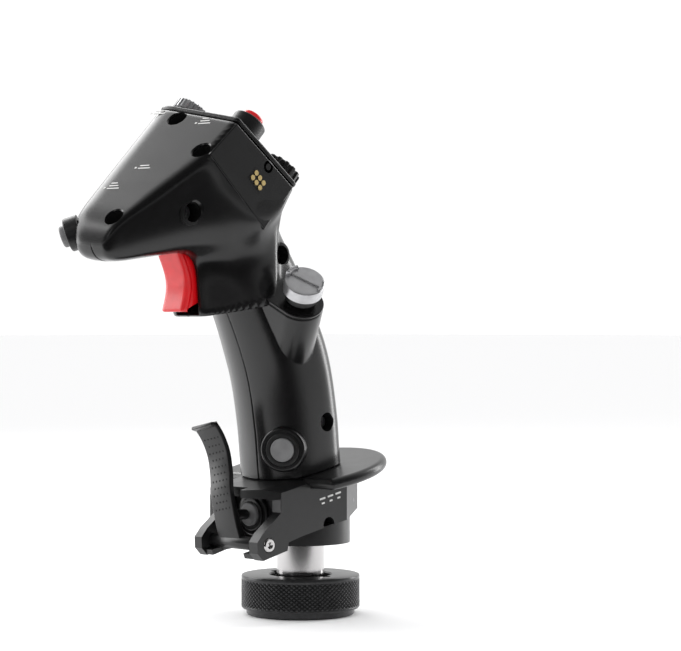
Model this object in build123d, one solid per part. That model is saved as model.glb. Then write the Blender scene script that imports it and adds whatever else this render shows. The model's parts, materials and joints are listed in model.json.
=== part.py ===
from build123d import *
import math
import os

# Flight-stick grip that screws onto a base with an M36 x 2 ring nut.
# Millimetres. +Y is forward, away from the pilot, +X is the pilot's right and +Z is up the post.
# The origin is on the post's axis, at the mouth of the ring nut.

# ---- driving dimensions ----------------------------------------------------------------------

wall = 2.6                    # shell thickness of the grip and head
runningGap = 0.05             # radial play of a pin or shaft that turns
slideGap = 0.15               # radial play of a button in its bore
seatGap = 0.3                 # play between bodies that only pass each other

nutRadius = 23.0
nutLipRadius = 21.0
nutLipHeight = 2.4
nutHeight = 15.4
nutThreadRadius = 16.9        # crests of an M36 x 2 female thread
nutThreadTop = 6.6
nutReliefRadius = 17.4        # room for the post's flange above the thread
nutRoofThickness = 4.0
nutEyeRadius = 12.0

postRadius = 9.35
postBoreRadius = 6.2
flangeRadius = 16.2
flangeTop = 10.4
flangeThickness = 3.6
washerThickness = 0.7

collarRadius = 19.3
collarBottom = 27.9

leanAngle = 11.3              # forward lean of the deck, hand rest and handle
deckHeight = 57.1             # height of the deck plane on the post's axis
baseHalfWidth = 20.0
deckRadius = 34.7             # hand rest and front of the deck share this circle
deckCentre = 1.8
restThickness = 4.4
restFront = 14.5              # front edge of the hand rest beside the block

axleY = 35.4
axleZ = 30.2
axleRadius = 1.5
barrelRadius = 2.5
armInner = 15.3               # inner face of the left fork arm
farInner = 11.2               # inner and outer faces of the right fork arm
farOuter = 15.2
paddleRoll = 12.0             # sideways roll of the paddle blade
paddleHalfWidth = 5.8

gripHalf = 18.0               # half width of the handle, between its flat sides
gripFront = 17.4              # from the handle's centre line to its front
gripRear = 19.0               # from the handle's centre line to its rear
sideFront = 11.0              # where the flat side ends in front
sideRear = -7.6               # and behind

triggerHalf = 6.0
triggerPivotY = 58.0
triggerPivotZ = 147.0
triggerPinRadius = 1.5

screwHeadRadius = 2.75
screwHoleRadius = 3.65

os.makedirs("parts", exist_ok=True)
parts = {}


def keep(name, shape):
    """Register a sub-part under its node name."""
    parts[name] = shape
    return shape


def unit(v):
    """Vector of length one along v."""
    return Vector(*v).normalized()


def frameAt(point, normal, side=(1, 0, 0)):
    """Plane at a point, its z along the normal and its x as near to side as it can be."""
    n = unit(normal)
    s = unit(side)
    x = s - n * s.dot(n)
    return Plane(origin=point, x_dir=x.normalized(), z_dir=n)


def onFrame(plane, shape):
    """Move a shape drawn about the origin onto a plane."""
    return plane.location * shape


def rod(radius, low, high):
    """Cylinder along Z from low to high."""
    return Pos(0, 0, (low + high) / 2) * Cylinder(radius, high - low)


def block(x0, x1, y0, y1, z0, z1):
    """Box between two corners."""
    return Pos((x0 + x1) / 2, (y0 + y1) / 2, (z0 + z1) / 2) * Box(x1 - x0, y1 - y0, z1 - z0)


def sidePrism(points, x0, x1):
    """Profile drawn in Y and Z, extruded from x0 to x1."""
    face = make_face(Polyline(*[(y, z) for y, z in points], close=True))
    plane = Plane(origin=(x0, 0, 0), x_dir=(0, 1, 0), z_dir=(1, 0, 0))
    return extrude(plane * face, amount=x1 - x0)


def softened(shape, radius, edges=None):
    """Fillet the edges, or fall back to a smaller radius where the full one does not fit."""
    chosen = shape.edges() if edges is None else edges
    for factor in (1.0, 0.6, 0.35):
        try:
            made = fillet(chosen, radius * factor)
            if made.is_valid and made.volume > 0:
                return made
        except Exception:
            continue
    return shape


def single(shape):
    """Largest solid of a shape, for a cut that leaves slivers."""
    solids = shape.solids()
    return max(solids, key=lambda s: s.volume)


leanFrame = Pos(0, 0, deckHeight) * Rot(-leanAngle, 0, 0)


def lean(shape):
    """Place a shape drawn about the deck plane into the leaning frame."""
    return leanFrame * shape


# ---- quick-release nut, post and plug --------------------------------------------------------

roofBottom = nutHeight - nutRoofThickness
nut = rod(nutRadius, nutLipHeight, nutHeight) + rod(nutLipRadius, 0, nutLipHeight)
nut = chamfer(nut.edges().filter_by(GeomType.CIRCLE).group_by(Axis.Z)[-1], 0.6)
nut -= rod(nutThreadRadius, -1, roofBottom - 1)
nut -= rod(nutReliefRadius, nutThreadTop, roofBottom)
nut -= rod(nutEyeRadius, roofBottom - 1, nutHeight + 1)
keySlot = block(-15.5, 15.5, -2.4, 2.4, roofBottom - 1, nutHeight + 1)
nut -= keySlot
grubHeight = 5.6
grubHole = Pos(-20, 0, grubHeight) * Rot(0, 90, 0) * Cylinder(1.1, 8)
nut -= grubHole
keep("knurled_nut", nut)
grub = Pos(-19.4, 0, grubHeight) * Rot(0, 90, 0) * Cylinder(1.1, 4)
grub -= Pos(-20.9, 0, grubHeight) * Rot(0, 90, 0) * extrude(RegularPolygon(0.55, 6), 1, both=True)
keep("nut_grub_screw", grub)

washerTop = roofBottom - 0.1
washer = rod(flangeRadius, washerTop - washerThickness, washerTop)
washer -= rod(postRadius + 0.12, 0, nutHeight)
keep("nut_washer", washer)

flangeLow = flangeTop - flangeThickness
flange = rod(flangeRadius, flangeLow, flangeTop) - rod(postRadius, 0, nutHeight)
flange -= block(-2, 2, flangeRadius - 2.2, flangeRadius + 1, flangeLow - 1, flangeTop + 1)
keep("post_flange", flange)

postTop = 47.0
post = rod(postRadius, flangeLow, postTop) - rod(postBoreRadius, flangeLow - 1, postTop + 1)
keep("post", post)

plug = rod(postBoreRadius, flangeLow, 16) - rod(4.6, flangeLow - 1, 9.6)
pins = []
for i in range(5):
    turn = math.radians(72 * i + 90)
    pins.append(single(Pos(2.6 * math.cos(turn), 2.6 * math.sin(turn), 9.2) * Cylinder(0.4, 4.2)))
for pin in pins:
    plug -= pin
keep("connector_plug", single(plug))
keep("connector_pins", Compound(children=pins))

# ---- base block in two halves, collar and hand rest ------------------------------------------

lipY = 29.3                                      # front of the side plates, just inside the circle
plan = Polyline((0, -19.4), (12, -19.4), (baseHalfWidth, -5.5), (baseHalfWidth, lipY))
frontArc = ThreePointArc(
    (baseHalfWidth, lipY),
    (10.0, deckCentre + math.sqrt(deckRadius ** 2 - 10.0 ** 2) - 0.6),
    (0, deckCentre + deckRadius - 0.6),
)
planFace = make_face(plan + frontArc + Line((0, deckCentre + deckRadius - 0.6), (0, -19.4)))
rightBlock = extrude(planFace, 80)
leftBlock = mirror(rightBlock, Plane.YZ)
column = single(rightBlock + leftBlock)
# under the lip the front falls back to the plunger's face, between the two side plates
lipThickness = 2.2
pocket = block(-armInner, farInner, 24.6, 60, -10, 90)
pocket = pocket & lean(block(-60, 60, -80, 80, -90, -1.9 - lipThickness))
# side plate and fork arm seen from the side, drawn in Y and Z
armPoints = [
    (-19.4, 62), (-19.4, 40.5), (-6.2, 37.3), (0.8, 36.1), (19.6, 32.2), (25.4, 30.6),
    (26.0, 27.6), (38.4, 24.6), (41.2, 27.4), (41.4, 31.6), (38.6, 34.8), (30.4, 41.0),
    (29.4, 42.0), (29.4, 62),
]
armColumn = sidePrism(armPoints, -baseHalfWidth, baseHalfWidth)
noseReach = block(-60, 60, lipY - 2.0, 60, 0, 90) & lean(block(-60, 60, -80, 80, -4.2, 40))
body = (column & (armColumn + noseReach)) + (
    armColumn & block(-baseHalfWidth, baseHalfWidth, lipY - 3, 60, 0, 43))
body -= pocket
body -= block(-armInner, farInner, 24.6, 60, -10, 47)
body -= block(farOuter, 60, lipY, 60, -10, 45)
body = body & lean(block(-60, 60, -90, 90, -90, 0))
# the deck's rim is bevelled down to the side plates
bevelDrop = 1.9
bevelRun = 6.0
for side in (-1, 1):
    wedge = Pos(side * baseHalfWidth, 0, 0) * Rot(0, side * math.degrees(math.atan2(bevelDrop, bevelRun)), 0)
    body -= lean(Pos(0, 0, -bevelDrop) * wedge * block(-30, 30, -90, 90, 0, 30))
# stop boss at the root of each arm's tip
for low, high in [(-armInner - 0.7, -10.0), (7.6, farInner + 0.7)]:
    body += sidePrism([(30.0, 27.0), (38.6, 24.9), (39.4, 26.9), (30.4, 28.6)], low, high)
# notch in the lip that lets the paddle's blade swing back
body -= block(-4.4, 11.8, 31.8, 60, 41.0, 70)
# axle bore, notches under the side plates, seat of the post, cable way
body -= Pos(0, axleY, axleZ) * Rot(0, 90, 0) * Cylinder(axleRadius, 90)
barrelMiddle = (farInner - armInner) / 2
barrelPlace = Pos(barrelMiddle, axleY, axleZ) * Rot(0, 90, 0)
body -= barrelPlace * Cylinder(barrelRadius + seatGap, armInner + farInner)
for side in (-1, 1):
    body -= Pos(side * 18.5, 4.2, 36.0) * Rot(0, 90, 0) * Cylinder(2.9, 6)
headRecess = Rot(0, 90, 0) * Cylinder(screwHeadRadius + 0.1, 2.4)
body -= Pos(-baseHalfWidth, axleY, axleZ) * headRecess
body -= rod(postRadius, 20, postTop)
body -= rod(postBoreRadius, 20, 80)
# slot that holds the hand rest, open at the rear
restSlot = lean(block(-60, 60, -60, restFront + 0.2, -restThickness, 0.5))
body -= restSlot
# plunger's seat in the front face
plungerFrame = Plane(origin=(0, 24.6, 40.2), x_dir=(1, 0, 0), z_dir=(0, 1, 0))
body -= onFrame(plungerFrame, rod(8.2, -3.0, 5.0))
body -= onFrame(plungerFrame, rod(4.7, -12.0, 0))
# two screws hold the halves together, put in from the right
baseScrewPlaces = [(-13.0, 44.0), (13.0, 47.0)]
for y, z in baseScrewPlaces:
    body -= Pos(0, y, z) * Rot(0, 90, 0) * Cylinder(1.5, 30)
    body -= Pos(15.5, y, z) * Rot(0, 90, 0) * Cylinder(2.6, 30 - 3)
baseScrews = []
for y, z in baseScrewPlaces:
    shank = Pos(-6.5, y, z) * Rot(0, 90, 0) * Cylinder(1.5, 17)
    head = Pos(3.5, y, z) * Rot(0, 90, 0) * Cylinder(2.6, 3)
    baseScrews.append(single(shank + head))
keep("base_screws", Compound(children=baseScrews))
collar = rod(collarRadius, collarBottom, 60) - rod(postRadius, 20, 80)
collarTopCut = sidePrism(armPoints, -60, 60)
collar = single((collar - collarTopCut) & block(-60, 60, -30, 24.6, 20, 41))
collar = single(collar & block(-60, 60, -60, 60, 20, 38.6))
keep("collar", collar)
body -= rod(collarRadius, collarBottom - 1, 32.5) & block(-60, 60, -60, 24.6, 0, 60)
keep("base_left", single(body & block(-60, 0, -60, 60, 0, 90)))
keep("base_right", single(body & block(0, 60, -60, 60, 0, 90)))
collarScrew = Pos(0, -13.5, 33.0) * Rot(90, 0, 0) * Cylinder(2.0, 7.0)
parts["collar"] = single(parts["collar"] - Pos(0, -14.5, 33.0) * Rot(90, 0, 0) * Cylinder(2.0, 10.4))
keep("collar_set_screw", collarScrew)

rest = lean(Pos(0, deckCentre, -restThickness / 2) * Cylinder(deckRadius, restThickness))
rest = single(rest & lean(block(-60, 60, -60, restFront, -10, 10)))
rest = softened(rest, restThickness * 0.46)
keep("hand_rest", single(rest - lean(rod(postBoreRadius, -20, 20))))

# ---- handle and head --------------------------------------------------------------------------

# centre line of the handle in the leaning frame: height above the deck, then forward place
spine = [(0.0, 5.0), (20.0, 3.2), (41.0, 3.4), (58.0, 6.6), (77.0, 12.6), (92.0, 19.0)]


def gripSection(height, forward, inset):
    """Section of the handle: flat sides, a shallow arc in front and a deeper one behind."""
    half = gripHalf - inset
    front = ThreePointArc((half, sideFront), (0, gripFront - inset), (-half, sideFront))
    rear = ThreePointArc((-half, sideRear), (0, inset - gripRear), (half, sideRear))
    sides = Line((-half, sideFront), (-half, sideRear)) + Line((half, sideRear), (half, sideFront))
    face = make_face(front + rear + sides)
    face = fillet(face.vertices(), 4.0)
    return Plane(origin=(0, forward, height)) * face


def gripLoft(inset, low=0.0):
    """The handle, from the deck up into the head."""
    sections = [gripSection(max(h, low), f, inset) for h, f in spine]
    return lean(loft(sections))


# faces of the head: outward normal and a point on the face
headFaces = [
    ((-0.16, 0.66, 0.735), (-2.0, 62.0, 184.6)),      # label face, front and top
    ((-0.127, -0.611, 0.782), (-22.0, 53.0, 188.0)),  # thumb face, to the rear
    ((-1.0, 0.0, 0.0), (-23.6, 50.0, 165.0)),         # plate for side modules
    ((1.0, 0.14, 0.0), (21.6, 53.0, 180.0)),          # right side
    ((-0.935, 0.209, -0.285), (-25.0, 68.0, 169.0)),  # left flank
    ((0.983, 0.113, -0.140), (25.0, 68.0, 178.0)),    # right flank
    ((-0.61, 0.12, -0.78), (-8.0, 57.0, 135.3)),      # lower left flank
    ((0.61, 0.12, -0.78), (9.0, 57.0, 135.3)),        # lower right flank
    ((0.0, 0.97, -0.25), (0.0, 106.0, 144.0)),        # nose
    ((0.0, -0.15, -1.0), (0.0, 94.4, 135.0)),         # underside of the nose
    ((-0.334, -0.698, -0.631), (-23.5, 28.0, 160.5)), # left half of the heel
    ((0.334, -0.698, -0.631), (23.5, 28.0, 165.0)),   # right half of the heel
    ((0.70, 0.64, -0.32), (15.5, 100.5, 144.8)),      # facet of the nose button
]


def headSolid(inset):
    """Convex head: a large box cut by each face, moved inwards by the inset."""
    solid = block(-40, 40, 0, 120, 120, 220)
    for normal, point in headFaces:
        n = unit(normal)
        place = Vector(*point) - n * inset
        cutter = frameAt(place, n, (0.3, 1, 0.2))
        solid = single(solid - onFrame(cutter, block(-150, 150, -150, 150, 0, 150)))
    return solid


def housingSolid(inset):
    """Trigger housing with its chin: narrow at the chin, as wide as the handle behind."""
    half = gripHalf + 0.6 - inset
    chin = 8.6 - inset
    plan = [(-chin, 59.4), (chin, 59.4), (half, 41.0), (half, 24.0), (-half, 24.0), (-half, 41.0)]
    column = extrude(Pos(0, 0, 110) * make_face(Polyline(*plan, close=True)), 45)
    side = [
        (20.0, 122.0 + inset), (44.0, 117.6 + inset), (54.0, 115.4 + inset), (57.4 - inset, 116.0 + inset),
        (58.6 - inset, 120.0), (60.0 - inset, 139.0), (62.0 - inset, 152.0), (20.0, 152.0),
    ]
    return single(column & sidePrism(side, -30, 30))


headOuter = softened(headSolid(0), 4.0)
housing = softened(housingSolid(0), 2.5)
outer = single(headOuter + housing + gripLoft(0))
inner = single(headSolid(wall + 0.4) + housingSolid(wall) + gripLoft(wall))
shell = single(outer - inner)

labelNormal = unit(headFaces[0][0])
thumbNormal = unit(headFaces[1][0])


def onThumb(x, y, lift=0.0):
    """Point on the thumb face over a given x and y, raised along its normal."""
    base = Vector(*headFaces[1][1])
    z = base.Z - (thumbNormal.X * (x - base.X) + thumbNormal.Y * (y - base.Y)) / thumbNormal.Z
    return (Vector(x, y, z) + thumbNormal * lift)


def onLabel(x, y, lift=0.0):
    """Point on the label face over a given x and y, raised along its normal."""
    base = Vector(*headFaces[0][1])
    z = base.Z - (labelNormal.X * (x - base.X) + labelNormal.Y * (y - base.Y)) / labelNormal.Z
    return (Vector(x, y, z) + labelNormal * lift)


# ---- shell screws in deep wells ------------------------------------------------------------------

# mouth of each well on the outer skin, and the outward direction
wellDepth = 6.5
wellWall = 1.4
shankRadius = 1.25
leftward = unit((-1, 0, 0))
wellPlaces = [
    (onLabel(5.2, 58.8), labelNormal),
    (onLabel(-19.0, 68.2), labelNormal),
    (onLabel(-6.4, 98.6), labelNormal),
    ((-18.6, 71.8, 152.7), leftward),
    ((-16.6, 25.4, 138.4), leftward),
    ((-gripHalf, 2.6, 75.0), leftward),
]
wellFrames = [frameAt(place, normal, (0, 0.3, 1)) for place, normal in wellPlaces]
for frame in wellFrames:
    sleeve = onFrame(frame, rod(screwHoleRadius + wellWall, -wellDepth - 1.6, -1.2))
    shell += single(sleeve & outer)
screws = []
for frame in wellFrames:
    shell -= onFrame(frame, rod(screwHoleRadius, -wellDepth, 8.0))
    shell -= onFrame(frame, rod(shankRadius, -wellDepth - 3.0, 0))
    screw = single(rod(screwHeadRadius, -wellDepth, -wellDepth + 1.8) + rod(shankRadius, -wellDepth - 3.0, -wellDepth))
    screw -= Pos(0, 0, -wellDepth + 1.8) * extrude(RegularPolygon(1.3, 6), 1.0, both=True)
    screws.append(onFrame(frame, single(screw)))
keep("head_screws", Compound(children=screws))

# trigger slot, from under the nose down to the chin, with room for the pulled trigger
slotHalf = triggerHalf + seatGap
slotSide = [
    (40.0, 122.8), (49.0, 121.0), (56.0, 116.7), (60.4, 114.0), (80.0, 113.0),
    (80.0, 147.5), (66.0, 152.0), (40.0, 152.0),
]
shell -= sidePrism(slotSide, -slotHalf, slotHalf)

# ---- controls on the thumb face ----------------------------------------------------------------

# name, place on the face, pivot depth below the face, stem radius, cap radius, cap height
hats = {
    "trim_hat": (13.5, 47.0, 3.0, 2.2, 7.4, 4.4),
    "target_hat": (-9.3, 23.6, 3.0, 2.2, 8.0, 5.0),
    "display_hat": (11.0, 26.5, 3.0, 2.2, 7.0, 4.6),
}
plate = headOuter - onFrame(frameAt(onThumb(0, 40, -2.0), thumbNormal), block(-90, 90, -90, 90, -150, 0))
plate = single(plate)
shell = single(shell - plate)


def hatFrame(name):
    """Frame of a hat on the thumb face, its z along the face's normal."""
    x, y = hats[name][:2]
    return frameAt(onThumb(x, y), thumbNormal)


def hatSwitch(frame):
    """Four-way switch module under a hat: a square can with a round mouth for the gimbal ball."""
    can = block(-5.5, 5.5, -5.5, 5.5, -11.5, -2.2)
    can -= rod(4.2, -10.0, 0)
    return onFrame(frame, can)


def gimbalBall(frame, pivot):
    """Cross piece of the gimbal, a small ball on the pivot."""
    return onFrame(frame, Pos(0, 0, -pivot) * Sphere(1.5))


def hatCap(frame, pivot, stem, cap, height, rise=1.6, teeth=0):
    """Cap on its stem: a drum with a dished top, seated on the gimbal's ball."""
    drum = rod(cap, rise, rise + height)
    drum = chamfer(drum.edges().filter_by(GeomType.CIRCLE), 0.6)
    drum -= Pos(0, 0, rise + height + cap * 1.9) * Sphere(cap * 2.0)
    body = drum + rod(stem, -pivot, rise + 0.6)
    body -= Pos(0, 0, -pivot) * Sphere(1.55)
    for i in range(teeth):
        body -= Rot(0, 0, 360 * i / teeth) * block(cap - 0.7, cap + 1, -0.45, 0.45, rise - 1, rise + height + 1)
    return onFrame(frame, single(body))


for name, (x, y, pivot, stem, cap, height) in hats.items():
    frame = hatFrame(name)
    mouth = onFrame(frame, rod(stem + 2.4, -2.6, 1.0))
    plate = single(plate - mouth)
    shell = shell - onFrame(frame, block(-5.6, 5.6, -5.6, 5.6, -13.5, 0))
    keep(name, hatCap(frame, pivot, stem, cap, height, teeth=12 if name == "target_hat" else 0))
    keep(name + "_gimbal", gimbalBall(frame, pivot))
    keep(name + "_switch", hatSwitch(frame))

# red release button in a tall bezel
releaseFrame = frameAt(onThumb(-14.6, 44.6), thumbNormal)
releaseBezel = rod(6.6, 0.0, 6.4) - rod(4.2 + slideGap, -1, 8)
releaseBezel = onFrame(releaseFrame, releaseBezel)
keep("release_bezel", releaseBezel)
plate = single(plate - onFrame(releaseFrame, rod(4.2 + slideGap, -4, 2)))
shell = shell - onFrame(releaseFrame, block(-5.2, 5.2, -5.2, 5.2, -13, 0))
releaseButton = rod(4.2, -1.6, 9.0)
releaseButton = chamfer(releaseButton.edges().group_by(Axis.Z)[-1], 0.7)
keep("release_button", onFrame(releaseFrame, releaseButton))
keep("release_switch", onFrame(releaseFrame, block(-4.6, 4.6, -4.6, 4.6, -10.0, -3.4)))
keep("thumb_plate", plate)

# ---- nose button ---------------------------------------------------------------------------------

noseNormal = unit(headFaces[-1][0])
noseFrame = frameAt(headFaces[-1][1], noseNormal, (0, 0, 1))
noseBore = onFrame(noseFrame, rod(6.2, -9.0, 6.0))
shell = shell - noseBore
noseBezel = rod(6.2, -4.0, 1.2) - rod(4.0 + slideGap, -6, 3)
keep("nose_bezel", onFrame(noseFrame, noseBezel))
noseButton = chamfer(rod(4.0, -3.4, 3.6).edges().group_by(Axis.Z)[-1], 0.5)
keep("nose_button", onFrame(noseFrame, noseButton))
keep("nose_switch", onFrame(noseFrame, block(-4.0, 4.0, -4.0, 4.0, -8.6, -5.2)))

# ---- trigger -------------------------------------------------------------------------------------

triggerProfile = Polyline((68.1, 138.4), (69.6, 143.0), (64.5, 150.0), (54.5, 150.6), (51.5, 145.0),
                          (51.8, 124.0), (56.0, 120.4), (66.0, 116.9))
triggerFront = ThreePointArc((66.0, 116.9), (64.5, 127.5), (68.1, 138.4))
triggerFace = make_face(triggerProfile + triggerFront)
triggerPlane = Plane(origin=(-triggerHalf, 0, 0), x_dir=(0, 1, 0), z_dir=(1, 0, 0))
trigger = extrude(triggerPlane * triggerFace, amount=2 * triggerHalf)
trigger -= Pos(0, triggerPivotY, triggerPivotZ) * Rot(0, 90, 0) * Cylinder(
    triggerPinRadius + runningGap, 40)
trigger -= block(-3.6, 3.6, 46.0, 56.6, 121.5, 141.0)
keep("trigger", single(trigger))
triggerPin = Pos(0, triggerPivotY, triggerPivotZ) * Rot(0, 90, 0) * Cylinder(triggerPinRadius, 19.0)
keep("trigger_pin", triggerPin)
shell = shell - block(-slotHalf, slotHalf, 48.0, 72.5, 138.0, 153.5)
for side in (-1, 1):
    lug = sidePrism([(53.5, 140.0), (62.5, 140.0), (62.5, 154.0), (53.5, 154.0)], 0, 2.9)
    lug = Pos(slotHalf + 0.3 if side > 0 else -slotHalf - 3.2, 0, 0) * lug
    shell += lug - block(-60, 60, 0, 120, 0, 100)
shell -= Pos(0, triggerPivotY, triggerPivotZ) * Rot(0, 90, 0) * Cylinder(triggerPinRadius, 19.4)
stageOne = block(-3.2, 3.2, 46.0, 53.2, 132.0, 138.0)
stageTwo = block(-3.2, 3.2, 44.0, 51.6, 124.6, 129.6)
keep("trigger_switch_first", stageOne)
keep("trigger_switch_second", stageTwo)

# ---- left module plate: spring contacts and threaded insert -----------------------------------------

plateX = headFaces[2][1][0]
contactFrame = frameAt((plateX, 44.7, 165.2), (-1, 0, 0), (0, 1, 1))
contactBlock = onFrame(contactFrame, block(-4.0, 4.0, -2.7, 2.7, -4.0, 0.1))
shell = shell - onFrame(contactFrame, block(-4.0, 4.0, -2.7, 2.7, -4.0, 3.0))
contactPads = []
for row in (-1, 0, 1):
    for column in (-0.5, 0.5):
        contactPads.append(onFrame(contactFrame, single(Pos(2.5 * row, 2.5 * column, 0) * Cylinder(1.0, 1.0))))
for pad in contactPads:
    contactBlock -= pad
keep("contact_block", single(contactBlock))
keep("contact_pads", Compound(children=contactPads))
insertPlace = Pos(plateX + 2.6, 39.2, 170.4) * Rot(0, 90, 0)
shell = shell - insertPlace * Cylinder(2.3, 5.4)
moduleInsert = insertPlace * (Cylinder(2.3, 5.2) - Cylinder(1.25, 12))
keep("module_insert", moduleInsert)

# ---- side hat pod -------------------------------------------------------------------------------------

podAxis = unit((-0.593, 0.346, 0.727))
podCentre = Vector(-25.4, 24.6, 121.0)           # centre of the pod's upper rim
podFrame = frameAt(podCentre, podAxis, (0, 1, 0))
podCan = rod(9.0, -26.0, 0)
podCan = softened(podCan, 3.0, podCan.edges().group_by(Axis.Z)[0])
pod = onFrame(podFrame, podCan)
# flat front facet, touching the can and running into the handle
facetOutline = Polyline((8.6, 2.8), (12.8, -9.4), (14.6, -15.0), (-9.0, -15.0), (-9.0, 0.0), (0, 0), close=True)
pod += onFrame(podFrame, extrude(Pos(0, 0, -24.6) * make_face(facetOutline), 24.6, dir=(0, 0, 1)))
pod = single(pod - gripLoft(0) - headOuter - housing)
podHollow = onFrame(podFrame, rod(7.2, -17.0, 1.0))
pod = single(pod - podHollow)
pod = single(pod - onFrame(podFrame, rod(9.0, 0.0, 12.0)))
shell = shell - onFrame(podFrame, rod(7.2, -17.2, 1.0))
shell = shell - onFrame(podFrame, rod(9.2, -0.2, 12.0))
sideBezel = onFrame(podFrame, rod(9.0, 0.0, 0.8) - rod(5.4, -1, 3))
keep("side_hat_bezel", sideBezel)
sidePivot = 3.0
sideCap = rod(7.65, 5.2, 11.0)
sideCap = chamfer(sideCap.edges().filter_by(GeomType.CIRCLE).group_by(Axis.Z)[-1], 0.8)
sideCap -= block(-9, 9, -1.3, 1.3, 10.0, 12)
sideCap += rod(6.0, 2.7, 5.3)
sideCap += rod(2.4, -sidePivot, 3.0)
sideCap -= Pos(0, 0, -sidePivot) * Sphere(1.55)
keep("side_hat", onFrame(podFrame, single(sideCap)))
keep("side_hat_gimbal", onFrame(podFrame, Pos(0, 0, -sidePivot) * Sphere(1.5)))
keep("side_hat_slider", onFrame(podFrame, rod(4.0, -9.0, -6.0)))
keep("side_hat_switch", onFrame(podFrame, block(-4.6, 4.6, -4.6, 4.6, -16.6, -11.6)))
podScrews = []
for y, z in [(20.0, 102.0), (15.5, 106.0)]:
    screw = Pos(-14.5, y, z) * Rot(0, 90, 0) * Cylinder(1.2, 7)
    pod -= screw
    shell -= screw
    podScrews.append(single(screw))
keep("side_hat_pod", single(pod))
keep("pod_screws", Compound(children=podScrews))

# ---- pinky button ----------------------------------------------------------------------------------------

pinkyNormal = unit((-0.57, 0.82, -0.05))
pinkyFrame = frameAt((-12.2, 20.6, 65.0), pinkyNormal, (0, 0, 1))
shell = shell - onFrame(pinkyFrame, rod(8.5, -6.5, 6.0))
pinkyCollar = rod(8.5, -6.5, 2.2) - rod(4.5 + slideGap, -8, 6)
pinkyCollar = chamfer(pinkyCollar.edges().filter_by(GeomType.CIRCLE).group_by(Axis.Z)[-1], 0.6)
keep("pinky_collar", onFrame(pinkyFrame, single(pinkyCollar)))
pinkyButton = chamfer(rod(4.5, -4.6, 3.6).edges().group_by(Axis.Z)[-1], 0.6)
keep("pinky_button", onFrame(pinkyFrame, pinkyButton))
keep("pinky_switch", onFrame(pinkyFrame, block(-3.4, 3.4, -3.4, 3.4, -9.6, -6.9)))

# ---- paddle, its axle and its plunger switch --------------------------------------------------------------

paddleFrame = Pos(0, axleY, axleZ) * Rot(0, paddleRoll, 0)
bladeFront = Spline((1.8, -1.5), (2.2, 4.0), (2.8, 12.0), (2.8, 20.0), (1.9, 27.0), (2.2, 35.0), (4.9, 42.0), (6.6, 44.6))
bladeBack = Spline((5.4, 45.6), (2.5, 42.6), (-0.3, 35.5), (-0.8, 27.0), (0.0, 20.0), (-0.6, 12.0), (-2.2, 6.0), (-2.4, 0.0))
bladeFace = make_face(bladeFront + Line((6.6, 44.6), (5.4, 45.6)) + bladeBack + Line((-2.4, 0.0), (1.8, -1.5)))
bladePlane = Plane(origin=(-paddleHalfWidth, 0, 0), x_dir=(0, 1, 0), z_dir=(1, 0, 0))
blade = extrude(bladePlane * bladeFace, amount=2 * paddleHalfWidth)
barrel = barrelPlace * Cylinder(barrelRadius, armInner + farInner - 2 * seatGap)
paddle = paddleFrame * blade + barrel
bossTip = 24.6 + 3.2 + 0.4
boss = Plane(origin=(0, 0, 40.2), x_dir=(1, 0, 0), z_dir=(0, 1, 0)).location * rod(2.0, bossTip + 1.2, 35.5)
boss += Pos(0, bossTip + 2.0, 40.2) * Sphere(2.0)
paddle += boss
paddle -= Pos(0, axleY, axleZ) * Rot(0, 90, 0) * Cylinder(axleRadius + runningGap, 60)
keep("paddle", single(paddle))
axle = Pos(-2.5, axleY, axleZ) * Rot(0, 90, 0) * Cylinder(axleRadius, 33.0)
axle += Pos(-baseHalfWidth + 0.3, axleY, axleZ) * Rot(0, 90, 0) * Cylinder(screwHeadRadius, 1.8)
axle -= Pos(-baseHalfWidth - 0.6, axleY, axleZ) * Rot(0, 90, 0) * extrude(RegularPolygon(1.1, 6), 0.8, both=True)
keep("paddle_axle", single(axle))

plungerRing = rod(8.2, -3.0, 1.2) - rod(4.45 + slideGap, -5, 5)
keep("plunger_ring", onFrame(plungerFrame, plungerRing))
plungerCap = chamfer(rod(4.45, -2.2, 3.2).edges().group_by(Axis.Z)[-1], 0.5)
keep("paddle_plunger", onFrame(plungerFrame, plungerCap))
keep("plunger_switch", onFrame(plungerFrame, rod(4.1, -9.0, -4.6)))

# ---- board -----------------------------------------------------------------------------------------

shell = single(shell)
keep("shell_left", single(shell & block(-90, 0, -60, 150, 0, 240)))
keep("shell_right", single(shell & block(0, 90, -60, 150, 0, 240)))

mainBoard = lean(block(-9.5, 9.5, 3.2, 4.8, 8.0, 48.0))
keep("main_board", mainBoard)
boardSocket = lean(block(-5.0, 5.0, 4.8, 9.6, 10.0, 15.0))
keep("board_socket", boardSocket)

for name, shape in parts.items():
    export_step(shape, f"parts/{name}.step")
print(len(parts), "parts written")
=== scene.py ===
import json
import math
import bpy
import bmesh
import numpy as np
from mathutils import Matrix, Vector

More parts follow.
